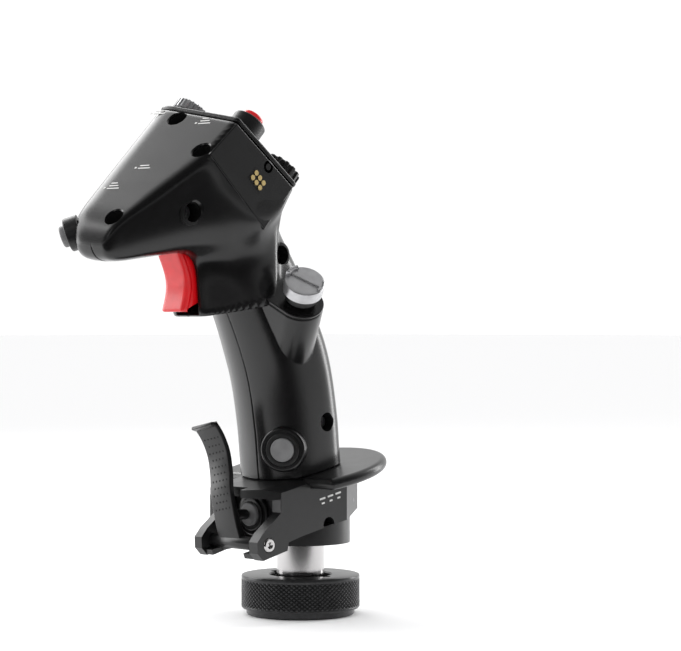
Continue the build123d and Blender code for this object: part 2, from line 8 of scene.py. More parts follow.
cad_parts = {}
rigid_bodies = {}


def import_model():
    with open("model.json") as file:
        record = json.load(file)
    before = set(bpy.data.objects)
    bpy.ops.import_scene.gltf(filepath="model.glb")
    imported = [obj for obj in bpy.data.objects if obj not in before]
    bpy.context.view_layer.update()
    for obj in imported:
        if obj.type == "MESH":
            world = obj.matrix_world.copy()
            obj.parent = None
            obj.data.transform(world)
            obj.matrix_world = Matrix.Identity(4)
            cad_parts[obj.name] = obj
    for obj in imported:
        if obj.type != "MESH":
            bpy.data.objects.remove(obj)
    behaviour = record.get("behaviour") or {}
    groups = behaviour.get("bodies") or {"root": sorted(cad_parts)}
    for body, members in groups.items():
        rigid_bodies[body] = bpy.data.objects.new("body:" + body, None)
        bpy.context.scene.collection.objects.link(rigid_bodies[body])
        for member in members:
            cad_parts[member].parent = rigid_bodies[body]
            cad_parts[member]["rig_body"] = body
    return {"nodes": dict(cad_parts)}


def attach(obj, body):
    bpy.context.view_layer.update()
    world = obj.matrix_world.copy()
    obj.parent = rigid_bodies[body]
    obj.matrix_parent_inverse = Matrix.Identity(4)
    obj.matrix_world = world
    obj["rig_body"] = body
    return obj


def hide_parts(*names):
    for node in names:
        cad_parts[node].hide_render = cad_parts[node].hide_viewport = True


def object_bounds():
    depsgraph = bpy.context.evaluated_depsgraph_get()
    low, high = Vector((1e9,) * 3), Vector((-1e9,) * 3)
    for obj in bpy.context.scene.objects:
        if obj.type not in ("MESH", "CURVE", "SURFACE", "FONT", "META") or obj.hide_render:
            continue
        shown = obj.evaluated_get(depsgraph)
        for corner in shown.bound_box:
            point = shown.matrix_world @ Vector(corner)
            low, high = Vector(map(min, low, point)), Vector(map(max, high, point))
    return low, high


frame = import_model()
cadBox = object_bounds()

print("frame loaded:", len(frame["nodes"]), "nodes")

# Everything below is drawn in millimetres and scaled once, when a mesh is made.
mm = 0.001

# sizes that several pieces share, as in the CAD part
shared = {
    "leanAngle": 11.3,         # forward lean of deck, hand rest and handle
    "deckHeight": 57.1,        # deck plane on the post's axis
    "deckRadius": 34.7,        # hand rest and front of the deck
    "deckCentre": 1.8,
    "restThickness": 4.4,
    "restFront": 14.5,
    "baseHalf": 20.0,
    "barrel": (-15.1, 11.0),
    "axle": (35.4, 30.2),      # y and z of the paddle's axle
    "paddleRoll": 12.0,
    "holeRadius": 3.65,        # screw wells
}

labelNormal = np.array([-0.16, 0.66, 0.735])
thumbNormal = np.array([-0.127, -0.611, 0.782])
labelNormal = labelNormal / np.linalg.norm(labelNormal)
thumbNormal = thumbNormal / np.linalg.norm(thumbNormal)
labelPoint = np.array([-2.0, 62.0, 184.6])
thumbPoint = np.array([-22.0, 53.0, 188.0])


# ---- mesh helpers ----

def gridQuads(rows, columns, closedRows=False, closedColumns=False, start=0):
    # four corners of every cell of a rows x columns grid, as one array
    i = np.arange(rows if closedRows else rows - 1)[:, None]
    j = np.arange(columns if closedColumns else columns - 1)[None, :]
    nextRow = (i + 1) % rows
    nextColumn = (j + 1) % columns
    cells = [i * columns + j, i * columns + nextColumn, nextRow * columns + nextColumn,
             nextRow * columns + j]
    return np.stack(np.broadcast_arrays(*cells), -1).reshape(-1, 4) + start


def signedVolume(points, quads):
    # sum of the tetrahedra between the origin and each half quad
    a, b, c, d = (points[quads[:, k]] for k in range(4))
    first = np.einsum("ij,ij->i", a, np.cross(b, c))
    second = np.einsum("ij,ij->i", a, np.cross(c, d))
    return (first + second).sum() / 6


def makePiece(name, points, quads, material, body, replaces=(), angle=38, caps=(), weld=0.004):
    # points in millimetres, quads as rows of four, caps as rings of indices
    points = np.asarray(points, float).reshape(-1, 3)
    capQuads = [np.stack([np.full(len(r) - 2, r[0]), r[1:-1], r[2:], r[2:]], 1) for r in map(np.asarray,
                                                                                             caps)]
    whole = np.concatenate([quads] + capQuads) if len(capQuads) else quads
    if signedVolume(points, whole) < 0:
        quads = quads[:, ::-1]
        caps = [list(r)[::-1] for r in caps]
    sizes = np.concatenate([np.full(len(quads), 4), np.array([len(r) for r in caps], int)])
    loops = np.concatenate([quads.ravel()] + [np.asarray(r, int) for r in caps])
    mesh = bpy.data.meshes.new(name)
    mesh.vertices.add(len(points))
    mesh.vertices.foreach_set("co", (points * mm).astype(np.float32).ravel())
    mesh.loops.add(len(loops))
    mesh.loops.foreach_set("vertex_index", loops.astype(np.int32))
    mesh.polygons.add(len(sizes))
    mesh.polygons.foreach_set("loop_start", (np.cumsum(sizes) - sizes).astype(np.int32))
    mesh.polygons.foreach_set("loop_total", sizes.astype(np.int32))
    mesh.update(calc_edges=True)
    mesh.validate()
    work = bmesh.new()
    work.from_mesh(mesh)
    bmesh.ops.remove_doubles(work, verts=work.verts, dist=weld * mm)
    bmesh.ops.dissolve_degenerate(work, edges=work.edges, dist=weld * mm * 0.2)
    work.to_mesh(mesh)
    work.free()
    mesh.shade_smooth()
    mesh.set_sharp_from_angle(angle=math.radians(angle))
    piece = bpy.data.objects.new(name, mesh)
    bpy.context.scene.collection.objects.link(piece)
    piece.data.materials.append(material)
    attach(piece, body)
    if replaces:
        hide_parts(*replaces)
    return piece


def unit(v):
    v = np.asarray(v, float)
    return v / np.linalg.norm(v)


def placed(points, origin, normal=(0, 0, 1), side=(1, 0, 0)):
    # local x, y, z laid along side, normal x side and normal
    z = unit(normal)
    x = np.asarray(side, float)
    x = unit(x - z * (x @ z))
    y = np.cross(z, x)
    points = np.asarray(points, float)
    return np.asarray(origin, float) + points[..., :1] * x + points[..., 1:2] * y + points[..., 2:3] * z


def leaned(points):
    # from the leaning deck frame to the part's frame
    a = math.radians(shared["leanAngle"])
    p = np.asarray(points, float)
    y = p[..., 1] * math.cos(a) + p[..., 2] * math.sin(a)
    z = p[..., 2] * math.cos(a) - p[..., 1] * math.sin(a)
    return np.stack([p[..., 0], y, z + shared["deckHeight"]], -1)


def unleaned(points):
    a = math.radians(shared["leanAngle"])
    p = np.asarray(points, float)
    z = p[..., 2] - shared["deckHeight"]
    return np.stack([p[..., 0], p[..., 1] * math.cos(a) - z * math.sin(a), p[...,
        1] * math.sin(a) + z * math.cos(a)], -1)


def roundedPath(corners, radius, steps=6):
    # each corner of a closed outline becomes an arc that touches both of its sides
    c = np.asarray(corners, float)
    r = np.broadcast_to(np.asarray(radius, float), len(c))
    before = np.roll(c, 1, 0) - c
    after = np.roll(c, -1, 0) - c
    beforeLength = np.linalg.norm(before, axis=1)
    afterLength = np.linalg.norm(after, axis=1)
    ub = before / beforeLength[:, None]
    ua = after / afterLength[:, None]
    half = np.arccos(np.clip((ub * ua).sum(1), -1, 1)) / 2
    half = np.clip(half, 0.05, math.pi / 2 - 0.002)
    cut = np.minimum(r / np.tan(half), 0.48 * np.minimum(beforeLength, afterLength))
    inner = ub + ua
    inner = inner / np.maximum(np.linalg.norm(inner, axis=1), 1e-9)[:, None]
    middle = c + inner * (cut / np.cos(half))[:, None]
    a = (c + ub * cut[:, None]) - middle
    b = (c + ua * cut[:, None]) - middle
    turn = (math.pi - 2 * half)[:, None, None]
    s = np.linspace(0, 1, steps)[None, :, None]
    arc = (np.sin((1 - s) * turn) * a[:, None] + np.sin(s * turn) * b[:, None]) / np.sin(turn)
    return (middle[:, None] + arc).reshape(-1, 2)


def outwardOf(outline):
    # unit normals of a closed outline, pointing away from its inside
    ahead = np.roll(outline, -1, 0) - outline
    behind = outline - np.roll(outline, 1, 0)
    ahead = ahead / np.maximum(np.linalg.norm(ahead, axis=1), 1e-9)[:, None]
    behind = behind / np.maximum(np.linalg.norm(behind, axis=1), 1e-9)[:, None]
    t = ahead + behind
    t = t / np.maximum(np.linalg.norm(t, axis=1), 1e-9)[:, None]
    area = (outline[:, 0] * np.roll(outline[:, 1], -1) - np.roll(outline[:, 0], -1) * outline[:,
                                                                                              1]).sum()
    n = np.stack([t[:, 1], -t[:, 0]], 1)
    return n if area > 0 else -n


def slabGrid(outline, low, high, edge=0.4, steps=4):
    # an outline extruded from low to high, its two rims rounded as quarter circles
    outline = np.asarray(outline, float)
    keep = np.linalg.norm(outline - np.roll(outline, 1, 0), axis=1) > 1e-4
    outline = outline[keep]
    out = outwardOf(outline)
    a = np.linspace(math.pi / 2, 0, steps)
    inset = np.concatenate([edge * (1 - np.cos(a)), edge * (1 - np.cos(a[::-1]))])
    level = np.concatenate([high - edge + edge * np.sin(a), low + edge - edge * np.sin(a[::-1])])
    flat = outline[None] - out[None] * inset[:, None, None]
    z = np.broadcast_to(level[:, None, None], flat.shape[:2] + (1,))
    points = np.concatenate([flat, z], -1)
    rows, columns = points.shape[:2]
    caps = [np.arange(columns), (rows - 1) * columns + np.arange(columns)[::-1]]
    return points.reshape(-1, 3), gridQuads(rows, columns, closedColumns=True), caps


def turnedGrid(profile, around=96, ring=False):
    # a profile of radius and height carried round the axis
    profile = np.asarray(profile, float)
    u = np.arange(around) * 2 * math.pi / around
    x = profile[:, :1] * np.cos(u)
    y = profile[:, :1] * np.sin(u)
    z = np.broadcast_to(profile[:, 1:2], x.shape)
    points = np.stack([x, y, z], -1)
    return points.reshape(-1, 3), gridQuads(len(profile), around, closedRows=ring, closedColumns=True)


def drumProfile(radius, low, high, edge=0.6, steps=5, dish=0.0):
    # a solid drum: flat or dished top, rounded upper rim, small lower rim
    a = np.linspace(0, math.pi / 2, steps)
    rim = np.stack([radius - edge + edge * np.sin(a), high - edge + edge * np.cos(a)], 1)
    r = np.linspace(0, radius - edge, 8)[:-1]
    top = np.stack([r, high - dish * (1 - (r / (radius - edge)) ** 2)], 1)
    lower = [(radius, low + 0.2), (radius - 0.2, low), (0, low)]
    return np.concatenate([top, rim, lower])


# ---- materials ----

looks = {
    "shellPlastic": dict(tone=(0.0036, 0.0036, 0.0038), spread=0.2, rough=(0.21, 0.27), grain=0.000012,
                         grainScale=3600,
                         metal=0.0, coat=0.0, slot="shell_black"),
    "coatedMetal": dict(tone=(0.005, 0.005, 0.0053), spread=0.2, rough=(0.26, 0.33), grain=0.000010,
                        grainScale=5200,
                        metal=0.0, coat=0.0, slot="metal_black"),
    "knurledMetal": dict(tone=(0.035, 0.035, 0.036), spread=0.2, rough=(0.26, 0.34), grain=0.000004,
                         grainScale=6500,
                         metal=0.6, coat=0.0, slot="knurl_black"),
    "chromePlate": dict(tone=(0.50, 0.49, 0.49), spread=0.03, rough=(0.12, 0.18), grain=0.000001,
                        grainScale=900,
                        metal=1.0, coat=0.0, slot="chrome"),
    "plainSteel": dict(tone=(0.42, 0.42, 0.43), spread=0.12, rough=(0.26, 0.38), grain=0.000004,
                       grainScale=3000,
                       metal=1.0, coat=0.0, slot="steel"),
    "silverCap": dict(tone=(0.50, 0.50, 0.51), spread=0.08, rough=(0.30, 0.40), grain=0.000005,
                      grainScale=5200,
                      metal=0.85, coat=0.0, slot="silver"),
    "redGloss": dict(tone=(0.58, 0.0012, 0.005), spread=0.08, rough=(0.28, 0.34), grain=0.000004,
                     grainScale=3600,
                     metal=0.0, coat=0.25, slot="red"),
    "greyCap": dict(tone=(0.13, 0.13, 0.132), spread=0.12, rough=(0.42, 0.52), grain=0.000010,
                    grainScale=4200,
                    metal=0.0, coat=0.0, slot="grey_cap"),
    "blackCap": dict(tone=(0.006, 0.006, 0.0063), spread=0.2, rough=(0.34, 0.46), grain=0.000010,
                     grainScale=4200,
                     metal=0.0, coat=0.0, slot="black_cap"),
    "goldPlate": dict(tone=(0.86, 0.66, 0.30), spread=0.06, rough=(0.22, 0.32), grain=0.000002,
                      grainScale=4000,
                      metal=1.0, coat=0.0, slot="gold"),
    "nylon": dict(tone=(0.30, 0.29, 0.27), spread=0.1, rough=(0.45, 0.55), grain=0.000006,
                  grainScale=3000,
                  metal=0.0, coat=0.0, slot="nylon"),
    "boardGreen": dict(tone=(0.012, 0.10, 0.035), spread=0.25, rough=(0.30, 0.42), grain=0.000006,
                       grainScale=1800,
                       metal=0.0, coat=0.3, slot="board_green"),
    "socketCream": dict(tone=(0.72, 0.66, 0.52), spread=0.08, rough=(0.42, 0.5), grain=0.000006,
                        grainScale=3000,
                        metal=0.0, coat=0.0, slot="socket_cream"),
    "inkWhite": dict(tone=(0.62, 0.62, 0.61), spread=0.08, rough=(0.5, 0.6), grain=0.000004,
                     grainScale=5000,
                     metal=0.0, coat=0.0, slot=None),
    # the shell's black plastic painted darker and matte: painted shade inside screw wells, gaps and
    # dimples; also the black card seen only in reflections
    "paintedShadeBlack": dict(tone=(0.002, 0.002, 0.002), spread=0.2, rough=(0.7, 0.85), grain=0.00001,
                      grainScale=3000,
                      metal=0.0, coat=0.0, slot="shell_black"),
}


def finishOf(name, look):
    # tone varies with a soft noise, roughness with a second one, and a fine grain lifts the surface
    material = bpy.data.materials.new(name)
    material.use_nodes = True
    tree = material.node_tree
    nodes = tree.nodes
    links = tree.links
    shader = nodes["Principled BSDF"]
    coordinate = nodes.new("ShaderNodeTexCoord")
    tone = np.array(look["tone"])

    def noise(scale, detail):
        node = nodes.new("ShaderNodeTexNoise")
        node.inputs["Scale"].default_value = scale
        node.inputs["Detail"].default_value = detail
        links.new(coordinate.outputs["Object"], node.inputs["Vector"])
        return node.outputs["Fac"]

    ramp = nodes.new("ShaderNodeValToRGB")
    ramp.color_ramp.elements[0].position = 0.3
    ramp.color_ramp.elements[1].position = 0.7
    ramp.color_ramp.elements[0].color = (*(tone * (1 - look["spread"])), 1)
    ramp.color_ramp.elements[1].color = (*(tone * (1 + look["spread"])), 1)
    links.new(noise(look["grainScale"] / 14, 3), ramp.inputs["Fac"])
    links.new(ramp.outputs["Color"], shader.inputs["Base Color"])
    span = nodes.new("ShaderNodeMapRange")
    span.inputs["To Min"].default_value = look["rough"][0]
    span.inputs["To Max"].default_value = look["rough"][1]
    links.new(noise(look["grainScale"] / 40, 4), span.inputs["Value"])
    links.new(span.outputs["Result"], shader.inputs["Roughness"])
    bump = nodes.new("ShaderNodeBump")
    bump.inputs["Strength"].default_value = 0.6
    bump.inputs["Distance"].default_value = look["grain"]
    links.new(noise(look["grainScale"], 2), bump.inputs["Height"])
    links.new(bump.outputs["Normal"], shader.inputs["Normal"])
    shader.inputs["Metallic"].default_value = look["metal"]
    shader.inputs["Coat Weight"].default_value = look["coat"]
    shader.inputs["Coat Roughness"].default_value = 0.12
    return material


finish = {name: finishOf(name, look) for name, look in looks.items()}

nodeFinish = {
    "shellPlastic": ["shell_left", "shell_right", "thumb_plate", "side_hat_pod", "pinky_collar",
                     "nose_bezel",
                     "trim_hat_switch", "target_hat_switch", "display_hat_switch", "release_switch",
                     "nose_switch",
                     "trigger_switch_first", "trigger_switch_second", "side_hat_switch", "pinky_switch",
                     "plunger_switch", "contact_block", "connector_plug"],
    "coatedMetal": ["base_left", "base_right", "collar", "hand_rest", "paddle", "plunger_ring",
                    "side_hat_bezel"],
    "knurledMetal": ["knurled_nut"],
    "chromePlate": ["post", "paddle_axle"],
    "plainSteel": ["post_flange", "nut_washer", "nut_grub_screw", "base_screws", "collar_set_screw",
                   "head_screws",
                   "pod_screws", "trigger_pin", "module_insert", "trim_hat_gimbal", "target_hat_gimbal",
                   "display_hat_gimbal", "side_hat_gimbal"],
    "silverCap": ["trim_hat", "side_hat"],
    "redGloss": ["trigger", "release_button"],
    "greyCap": ["pinky_button", "nose_button", "paddle_plunger"],
    "blackCap": ["target_hat", "display_hat", "release_bezel"],
    "goldPlate": ["connector_pins", "contact_pads"],
    "nylon": ["side_hat_slider"],
    "boardGreen": ["main_board"],
    "socketCream": ["board_socket"],
}
for name, members in nodeFinish.items():
    for node in members:
        frame["nodes"][node].data.materials.clear()
        frame["nodes"][node].data.materials.append(finish[name])
print("materials ready")


# ---- head and handle ----

def softMax(a, b, r):
    # the larger of two fields, rounded over a band r wide where they are close
    h = np.maximum(r - np.abs(a - b), 0) / r
    return np.maximum(a, b) + h ** 3 * r / 6


def softMin(a, b, r):
    return -softMax(-a, -b, r)


head = {
    # outward normal and a point of each face
    "label": (labelNormal, labelPoint),
    "nose": ((0.0, 0.97, -0.25), (0.0, 106.0, 144.0)),
    "under": ((0.0, -0.15, -1.0), (0.0, 94.4, 134.6)),
    "facet": ((0.70, 0.64, -0.32), (15.5, 100.5, 144.8)),
    "rightFlank": ((0.983, 0.113, -0.140), (25.0, 68.0, 178.0)),
    "rightSide": ((1.0, 0.14, 0.0), (21.6, 53.0, 180.0)),
    "lowRight": ((0.61, -0.10, -0.78), (14.0, 97.0, 134.8)),
    "leftFlank": ((-0.9475, 0.2232, -0.2288), (-23.6, 42.0, 145.0)),
    "lowLeft": ((-0.61, -0.02, -0.78), (-9.0, 97.0, 134.8)),
    "heelLeft": ((-0.334, -0.698, -0.631), (-23.5, 28.0, 160.5)),
    "heelRight": ((0.334, -0.698, -0.631), (23.5, 28.0, 165.0)),
    "sidePlate": ((-1.0, 0.0, 0.0), (-23.0, 50.0, 165.0)),
    "plateDrop": 2.0,          # the thumb plate lies on the shell, this thick
    "wall": 2.4,
    "frontOrigin": (0.0, 77.0, 150.0),
    "rearOrigin": (0.0, 45.0, 153.0),
    "waistAngle": 52.0,        # polar angle held while the origin slides back
    "rows": (54, 66, 136),
    "columns": 124,
    "seamDepth": 0.30,
    "seamWidth": 0.28,
    "seamTop": 141.0,
}

housing = {
    "half": 18.4, "chin": 8.6, "chinY": 59.6, "shoulderY": 41.0,
    "front": ((0.0, 0.996, -0.085), (0.0, 59.3, 128.0)),
    "top": 152.0,
    "rimPoint": (0.0, 54.0, 115.6), "rimNormal": (0.0, -0.17, -0.985),
}

handle = {
    # height above the deck, forward place of the centre line
    "spine": [(-6.0, 5.2), (0.0, 5.0), (20.0, 3.2), (41.0, 3.4), (58.0, 6.6), (77.0, 12.6), (92.0,
        19.0), (122.0, 33.0)],
    "half": 18.0, "front": 17.4, "rear": 19.0, "sideFront": 11.0, "sideRear": -7.6, "corner": 6.0,
    "wall": 2.4, "top": 84.0, "rows": 150, "columns": 90,
}


def planeField(p, normal, point):
    return (p - np.asarray(point, float)) @ unit(normal)


def circleThrough(half, side, crown):
    # radius and centre of the arc over a chord of that half width, from side to crown
    rise = abs(crown - side)
    radius = (half ** 2 + rise ** 2) / (2 * rise)
    return radius, crown - math.copysign(radius, crown - side)


def smoothSpine(height):
    # forward place of the centre line: a cubic through the table's points, by finite slopes
    table = np.array(handle["spine"])
    slopes = np.gradient(table[:, 1], table[:, 0])
    h = np.clip(height, table[0, 0], table[-1, 0])
    k = np.clip(np.searchsorted(table[:, 0], h, side="right") - 1, 0, len(table) - 2)
    span = table[k + 1, 0] - table[k, 0]
    t = (h - table[k, 0]) / span
    a = table[k, 1] * (1 + 2 * t) * (1 - t) ** 2 + slopes[k] * span * t * (1 - t) ** 2
    b = table[k + 1, 1] * t ** 2 * (3 - 2 * t) + slopes[k + 1] * span * t ** 2 * (t - 1)
    return a + b


def neckHalf(height):
    # the handle narrows towards the head
    t = np.clip((height - 44.0) / 34.0, 0, 1)
    return handle["half"] - 2.2 * t * t * (3 - 2 * t)


def sectionField(x, y):
    # flat sides, a shallow arc in front and a deeper one behind, corners rounded
    frontRadius, frontCentre = circleThrough(handle["half"], handle["sideFront"], handle["front"])
    rearRadius, rearCentre = circleThrough(handle["half"], handle["sideRear"], -handle["rear"])
    side = np.abs(x) - handle["half"]
    arcs = softMax(np.hypot(x, y - frontCentre) - frontRadius, np.hypot(x, y - rearCentre) - rearRadius,
                   1.0)
    return softMax(side, arcs, handle["corner"])


def neckField(p):
    q = unleaned(p)
    x = q[..., 0] * handle["half"] / neckHalf(q[..., 2])
    return sectionField(x, q[..., 1] - smoothSpine(q[..., 2]))


def housingField(p):
    # plan: narrow at the chin, widening back to the handle's width
    run = np.array([housing["half"] - housing["chin"], housing["chinY"] - housing["shoulderY"]])
    n = np.array([run[1], run[0]]) / np.linalg.norm(run)
    x = np.abs(p[..., 0])
    wedge = (x - housing["chin"]) * n[0] + (p[..., 1] - housing["chinY"]) * n[1]
    f = softMax(wedge, x - housing["half"], 9.0)
    f = softMax(f, planeField(p, *housing["front"]), 5.0)
    f = softMax(f, 30.0 - p[..., 1], 6.0)
    return softMax(f, p[..., 2] - housing["top"], 6.0)


def seamGroove(p):
    # the parting line shows under the nose and fades out above it
    shown = np.clip((head["seamTop"] - p[..., 2]) / 4.0, 0, 1)
    return shown * head["seamDepth"] * np.exp(-(p[..., 0] / head["seamWidth"]) ** 2)


def face(p, name):
    return planeField(p, *head[name])


def ridgeWidth(p):
    # the left ridge is crisp at the nose and softer towards the side plate
    t = np.clip((102.0 - p[..., 1]) / 18.0, 0, 1)
    return 2.8 + 2.4 * t * t * (3 - 2 * t)


def snoutField(p):
    # all faces but the plate for side modules, rounded where they meet; bodyField joins them to the
    # housing and the neck by hollow fillets
    f = softMax(softMax(face(p, "label"), face(p, "nose"), 16.0), face(p, "under"), 15.0)
    rightHand = softMax(softMax(face(p, "rightFlank"), face(p, "rightSide"), 6.0), face(p, "lowRight"),
                        10.0)
    f = softMax(softMax(f, rightHand, 11.0), face(p, "facet"), 4.0)
    leftHand = softMax(face(p, "leftFlank"), face(p, "lowLeft"), 9.0)
    f = softMax(f, leftHand, ridgeWidth(p))
    return softMax(softMax(f, face(p, "heelLeft"), 9.0), face(p, "heelRight"), 9.0)


def bodyField(p):
    f = softMax(snoutField(p), face(p, "sidePlate"), 2.0)
    neck = softMax(neckField(p) - 0.7, p[..., 2] - housing["top"], 6.0)
    f = softMin(f, softMin(housingField(p), neck, 10.0), 15.0)
    return softMax(f, planeField(p, housing["rimNormal"], housing["rimPoint"]), 2.4)


def shellField(p):
    f = bodyField(p)
    return softMax(f, planeField(p, thumbNormal, thumbPoint) + head["plateDrop"] + 0.12,
                   2.6) + seamGroove(p)


def along(origin, direction, field, far, near=0.0, steps=34):
    # halving search for the place on each ray where the field turns positive
    low = np.full(direction.shape[:-1], near)
    high = np.full(direction.shape[:-1], far)
    for step in range(steps):
        middle = (low + high) / 2
        outside = field(origin + direction * middle[..., None]) > 0
        high = np.where(outside, middle, high)
        low = np.where(outside, low, middle)
    return origin + direction * ((low + high) / 2)[..., None]


def headRays(side):
    # polar angle grows from the nose to the heel; while it waits at the waist the origin slides back
    a, b, c = head["rows"]
    waist = math.radians(head["waistAngle"])
    polar = np.concatenate([np.linspace(0, waist, a, endpoint=False), np.full(b, waist),
                            np.linspace(waist, math.pi, c)])
    slide = np.concatenate([np.zeros(a), np.linspace(0, 1, b), np.ones(c)])
    s = np.linspace(0, 1, head["columns"])
    around = math.pi * (s - 0.86 * np.sin(2 * math.pi * s) / (2 * math.pi))
    front = np.array(head["frontOrigin"])
    rear = np.array(head["rearOrigin"])
    origin = front + (rear - front) * slide[:, None]
    direction = np.stack([
        side * np.sin(polar)[:, None] * np.sin(around),
        np.broadcast_to(np.cos(polar)[:, None], (len(polar), len(around))),
        np.sin(polar)[:, None] * np.cos(around),
    ], -1)
    return np.broadcast_to(origin[:, None], direction.shape), direction


def keepSide(points, side, gap=0.006):
    # hold a half shell off the parting plane
    return points + np.array([side * gap, 0, 0])


def headHalf(side):
    origin, direction = headRays(side)
    outer = along(origin, direction, shellField, 110.0)
    inner = along(origin, direction, lambda p: shellField(p) + head["wall"], 110.0)
    rows = np.concatenate([outer, inner[:, ::-1]], 1)
    return keepSide(rows, side)


def handleHalf(side):
    # rays in the plane of each section, from the centre line out to the section's outline
    low, high = 0.05, handle["top"]
    heights = np.linspace(low, high, handle["rows"])
    s = np.linspace(0, 1, handle["columns"])
    around = math.pi * (s - 0.86 * np.sin(2 * math.pi * s) / (2 * math.pi))
    direction = np.stack(np.broadcast_arrays(side * np.sin(around), np.cos(around)), -1)
    direction = np.broadcast_to(direction, (len(heights),) + direction.shape)
    origin = np.zeros_like(direction)

    widen = (handle["half"] / neckHalf(heights))[:, None]

    def field(q):
        groove = head["seamDepth"] * np.exp(-(q[..., 0] / head["seamWidth"]) ** 2)
        return sectionField(q[..., 0] * widen, q[..., 1]) + groove

    outer = along(origin, direction, field, 40.0)
    inner = along(origin, direction, lambda q: field(q) + handle["wall"], 40.0)
    # a small round at the foot
    foot = 0.5 * np.maximum(0, 1 - (heights - low) / 0.6) ** 2
    outer = outer - direction * foot[:, None, None]
    ring = np.concatenate([outer, inner[:, ::-1]], 1)
    centre = smoothSpine(heights)
    z = np.broadcast_to(heights[:, None, None], ring.shape[:2] + (1,))
    shape = np.concatenate([ring[..., :1], ring[..., 1:2] + centre[:, None, None], z], -1)
    return keepSide(leaned(shape), side)


def joined(parts):
    # several grids as one list of points and quads
    points = [p.reshape(-1, 3) for p, q, c in parts]
    offsets = np.cumsum([0] + [len(p) for p in points])
    quads = np.concatenate([q + o for (p, q, c), o in zip(parts, offsets)])
    caps = [np.asarray(r) + o for (p, q, c), o in zip(parts, offsets) for r in c]
    return np.concatenate(points), quads, caps


def shellGrid(rings, capEnds):
    rows, columns = rings.shape[:2]
    quads = gridQuads(rows, columns, closedColumns=True)
    caps = []
    if capEnds:
        half = columns // 2
        ends = np.arange(half - 1)
        # the ends of a half tube are strips between its outer and inner wall
        for start in (0, (rows - 1) * columns):
            strip = np.stack([start + ends, start + ends + 1, start + columns - 2 - ends,
                              start + columns - 1 - ends], 1)
            quads = np.concatenate([quads, strip if start else strip[:, ::-1]])
    return rings, quads, caps


def cutAway(piece, cutters):
    # take closed cutter solids out of a piece and keep the result
    for cutter in cutters:
        cut = piece.modifiers.new("cut", "BOOLEAN")
        cut.operation = "DIFFERENCE"
        cut.solver = "EXACT"
        cut.object = cutter
    depsgraph = bpy.context.evaluated_depsgraph_get()
    result = bpy.data.meshes.new_from_object(piece.evaluated_get(depsgraph))
    piece.modifiers.clear()
    old = piece.data
    piece.data = result
    bpy.data.meshes.remove(old)
    result.set_sharp_from_angle(angle=math.radians(38))


def cutterOf(name, points, quads, caps=(), look="paintedShadeBlack"):
    piece = makePiece(name, points, quads, finish[look], "grip", caps=caps)
    piece.hide_render = True
    return piece


def onFace(normal, point, x, y):
    # point of a head face over a given x and y
    z = point[2] - (normal[0] * (x - point[0]) + normal[1] * (y - point[1])) / normal[2]
    return np.array([x, y, z])


wells = {
    "depth": 8.0, "flare": 0.45,
    "places": [
        (onFace(labelNormal, labelPoint, 5.2, 58.8), labelNormal),
        (onFace(labelNormal, labelPoint, -19.0, 68.2), labelNormal),
        (onFace(labelNormal, labelPoint, -6.4, 98.6), labelNormal),
        (np.array([-19.5, 71.8, 152.7]), np.array([-1.0, 0.0, 0.0])),
        (np.array([-17.0, 25.4, 138.4]), np.array([-1.0, 0.0, 0.0])),
        (np.array([-18.0, 2.6, 75.0]), np.array([-1.0, 0.0, 0.0])),
    ],
}


def wellCutter(place, normal, flare):
    # a cylinder that opens into a short flare at the skin
    r = shared["holeRadius"]
    profile = [(0, -wells["depth"]), (r, -wells["depth"]), (r, -flare), (r + flare * 1.6, flare * 0.6),
               (r + flare * 1.6, 9), (0, 9)]
    points, quads = turnedGrid(profile, 48)
    return placed(points, place, normal, (0.1, 1, 0.2)), quads, []


def buildSkin():
    sides = {"left": -1, "right": 1}
    for word, side in sides.items():
        parts = [shellGrid(headHalf(side), False), shellGrid(handleHalf(side), True)]
        for label, part in zip(("head", "handle"), parts):
            points, quads, caps = joined([part])
            node = "shell_" + word
            piece = makePiece(word + "_" + label, points, quads, finish["shellPlastic"], "grip",
                              caps=caps,
                              replaces=(node,))
            skins[word + "_" + label] = piece


def buildCutters():
    slotSide = [(40.0, 122.8), (49.0, 121.0), (56.0, 116.9), (60.4, 114.2), (80.0, 112.0), (80.0,
                                                                                            148.0),
                (66.0, 151.0), (40.0, 151.0)]
    points, quads, caps = slabGrid(roundedPath(slotSide, 0.6, 4), -6.35, 6.35, 0.2, 2)
    slot = cutterOf("slotCutter", points[:, [2, 0, 1]], quads, caps, "shellPlastic")
    holes = [wellCutter(place, normal, wells["flare"]) for place, normal in wells["places"]]
    grids = [(placed(turnedGrid([(0, -17.0), (7.4, -17.0), (7.4, 4), (0, 4)], 64)[0], *pod["frame"]),
              turnedGrid([(0, -17.0), (7.4, -17.0), (7.4, 4), (0, 4)], 64)[1], [])]
    seat = [(0, -6.5), (8.6, -6.5), (8.6, 6), (0, 6)]
    grids.append((placed(turnedGrid(seat, 72)[0], *pinky["frame"]), turnedGrid(seat, 72)[1], []))
    noseSeat = [(0, -5.0), (6.25, -5.0), (6.25, 6), (0, 6)]
    grids.append((placed(turnedGrid(noseSeat, 64)[0], *nose["frame"]), turnedGrid(noseSeat, 64)[1], []))
    box = [(-2.75, -4.05), (2.75, -4.05), (2.75, 4.05), (-2.75, 4.05)]
    points, quads, caps = slabGrid(roundedPath(box, 0.2, 2), -4.2, 3, 0.05, 2)
    grids.append((placed(points, contacts["place"], (-1, 0, 0), contacts["across"]), quads, caps))
    insert = [(0, -5.4), (2.35, -5.4), (2.35, 3), (0, 3)]
    grids.append((placed(turnedGrid(insert, 32)[0], contacts["insert"], (-1, 0, 0)), turnedGrid(insert,
        32)[1], []))
    return slot, holes, grids


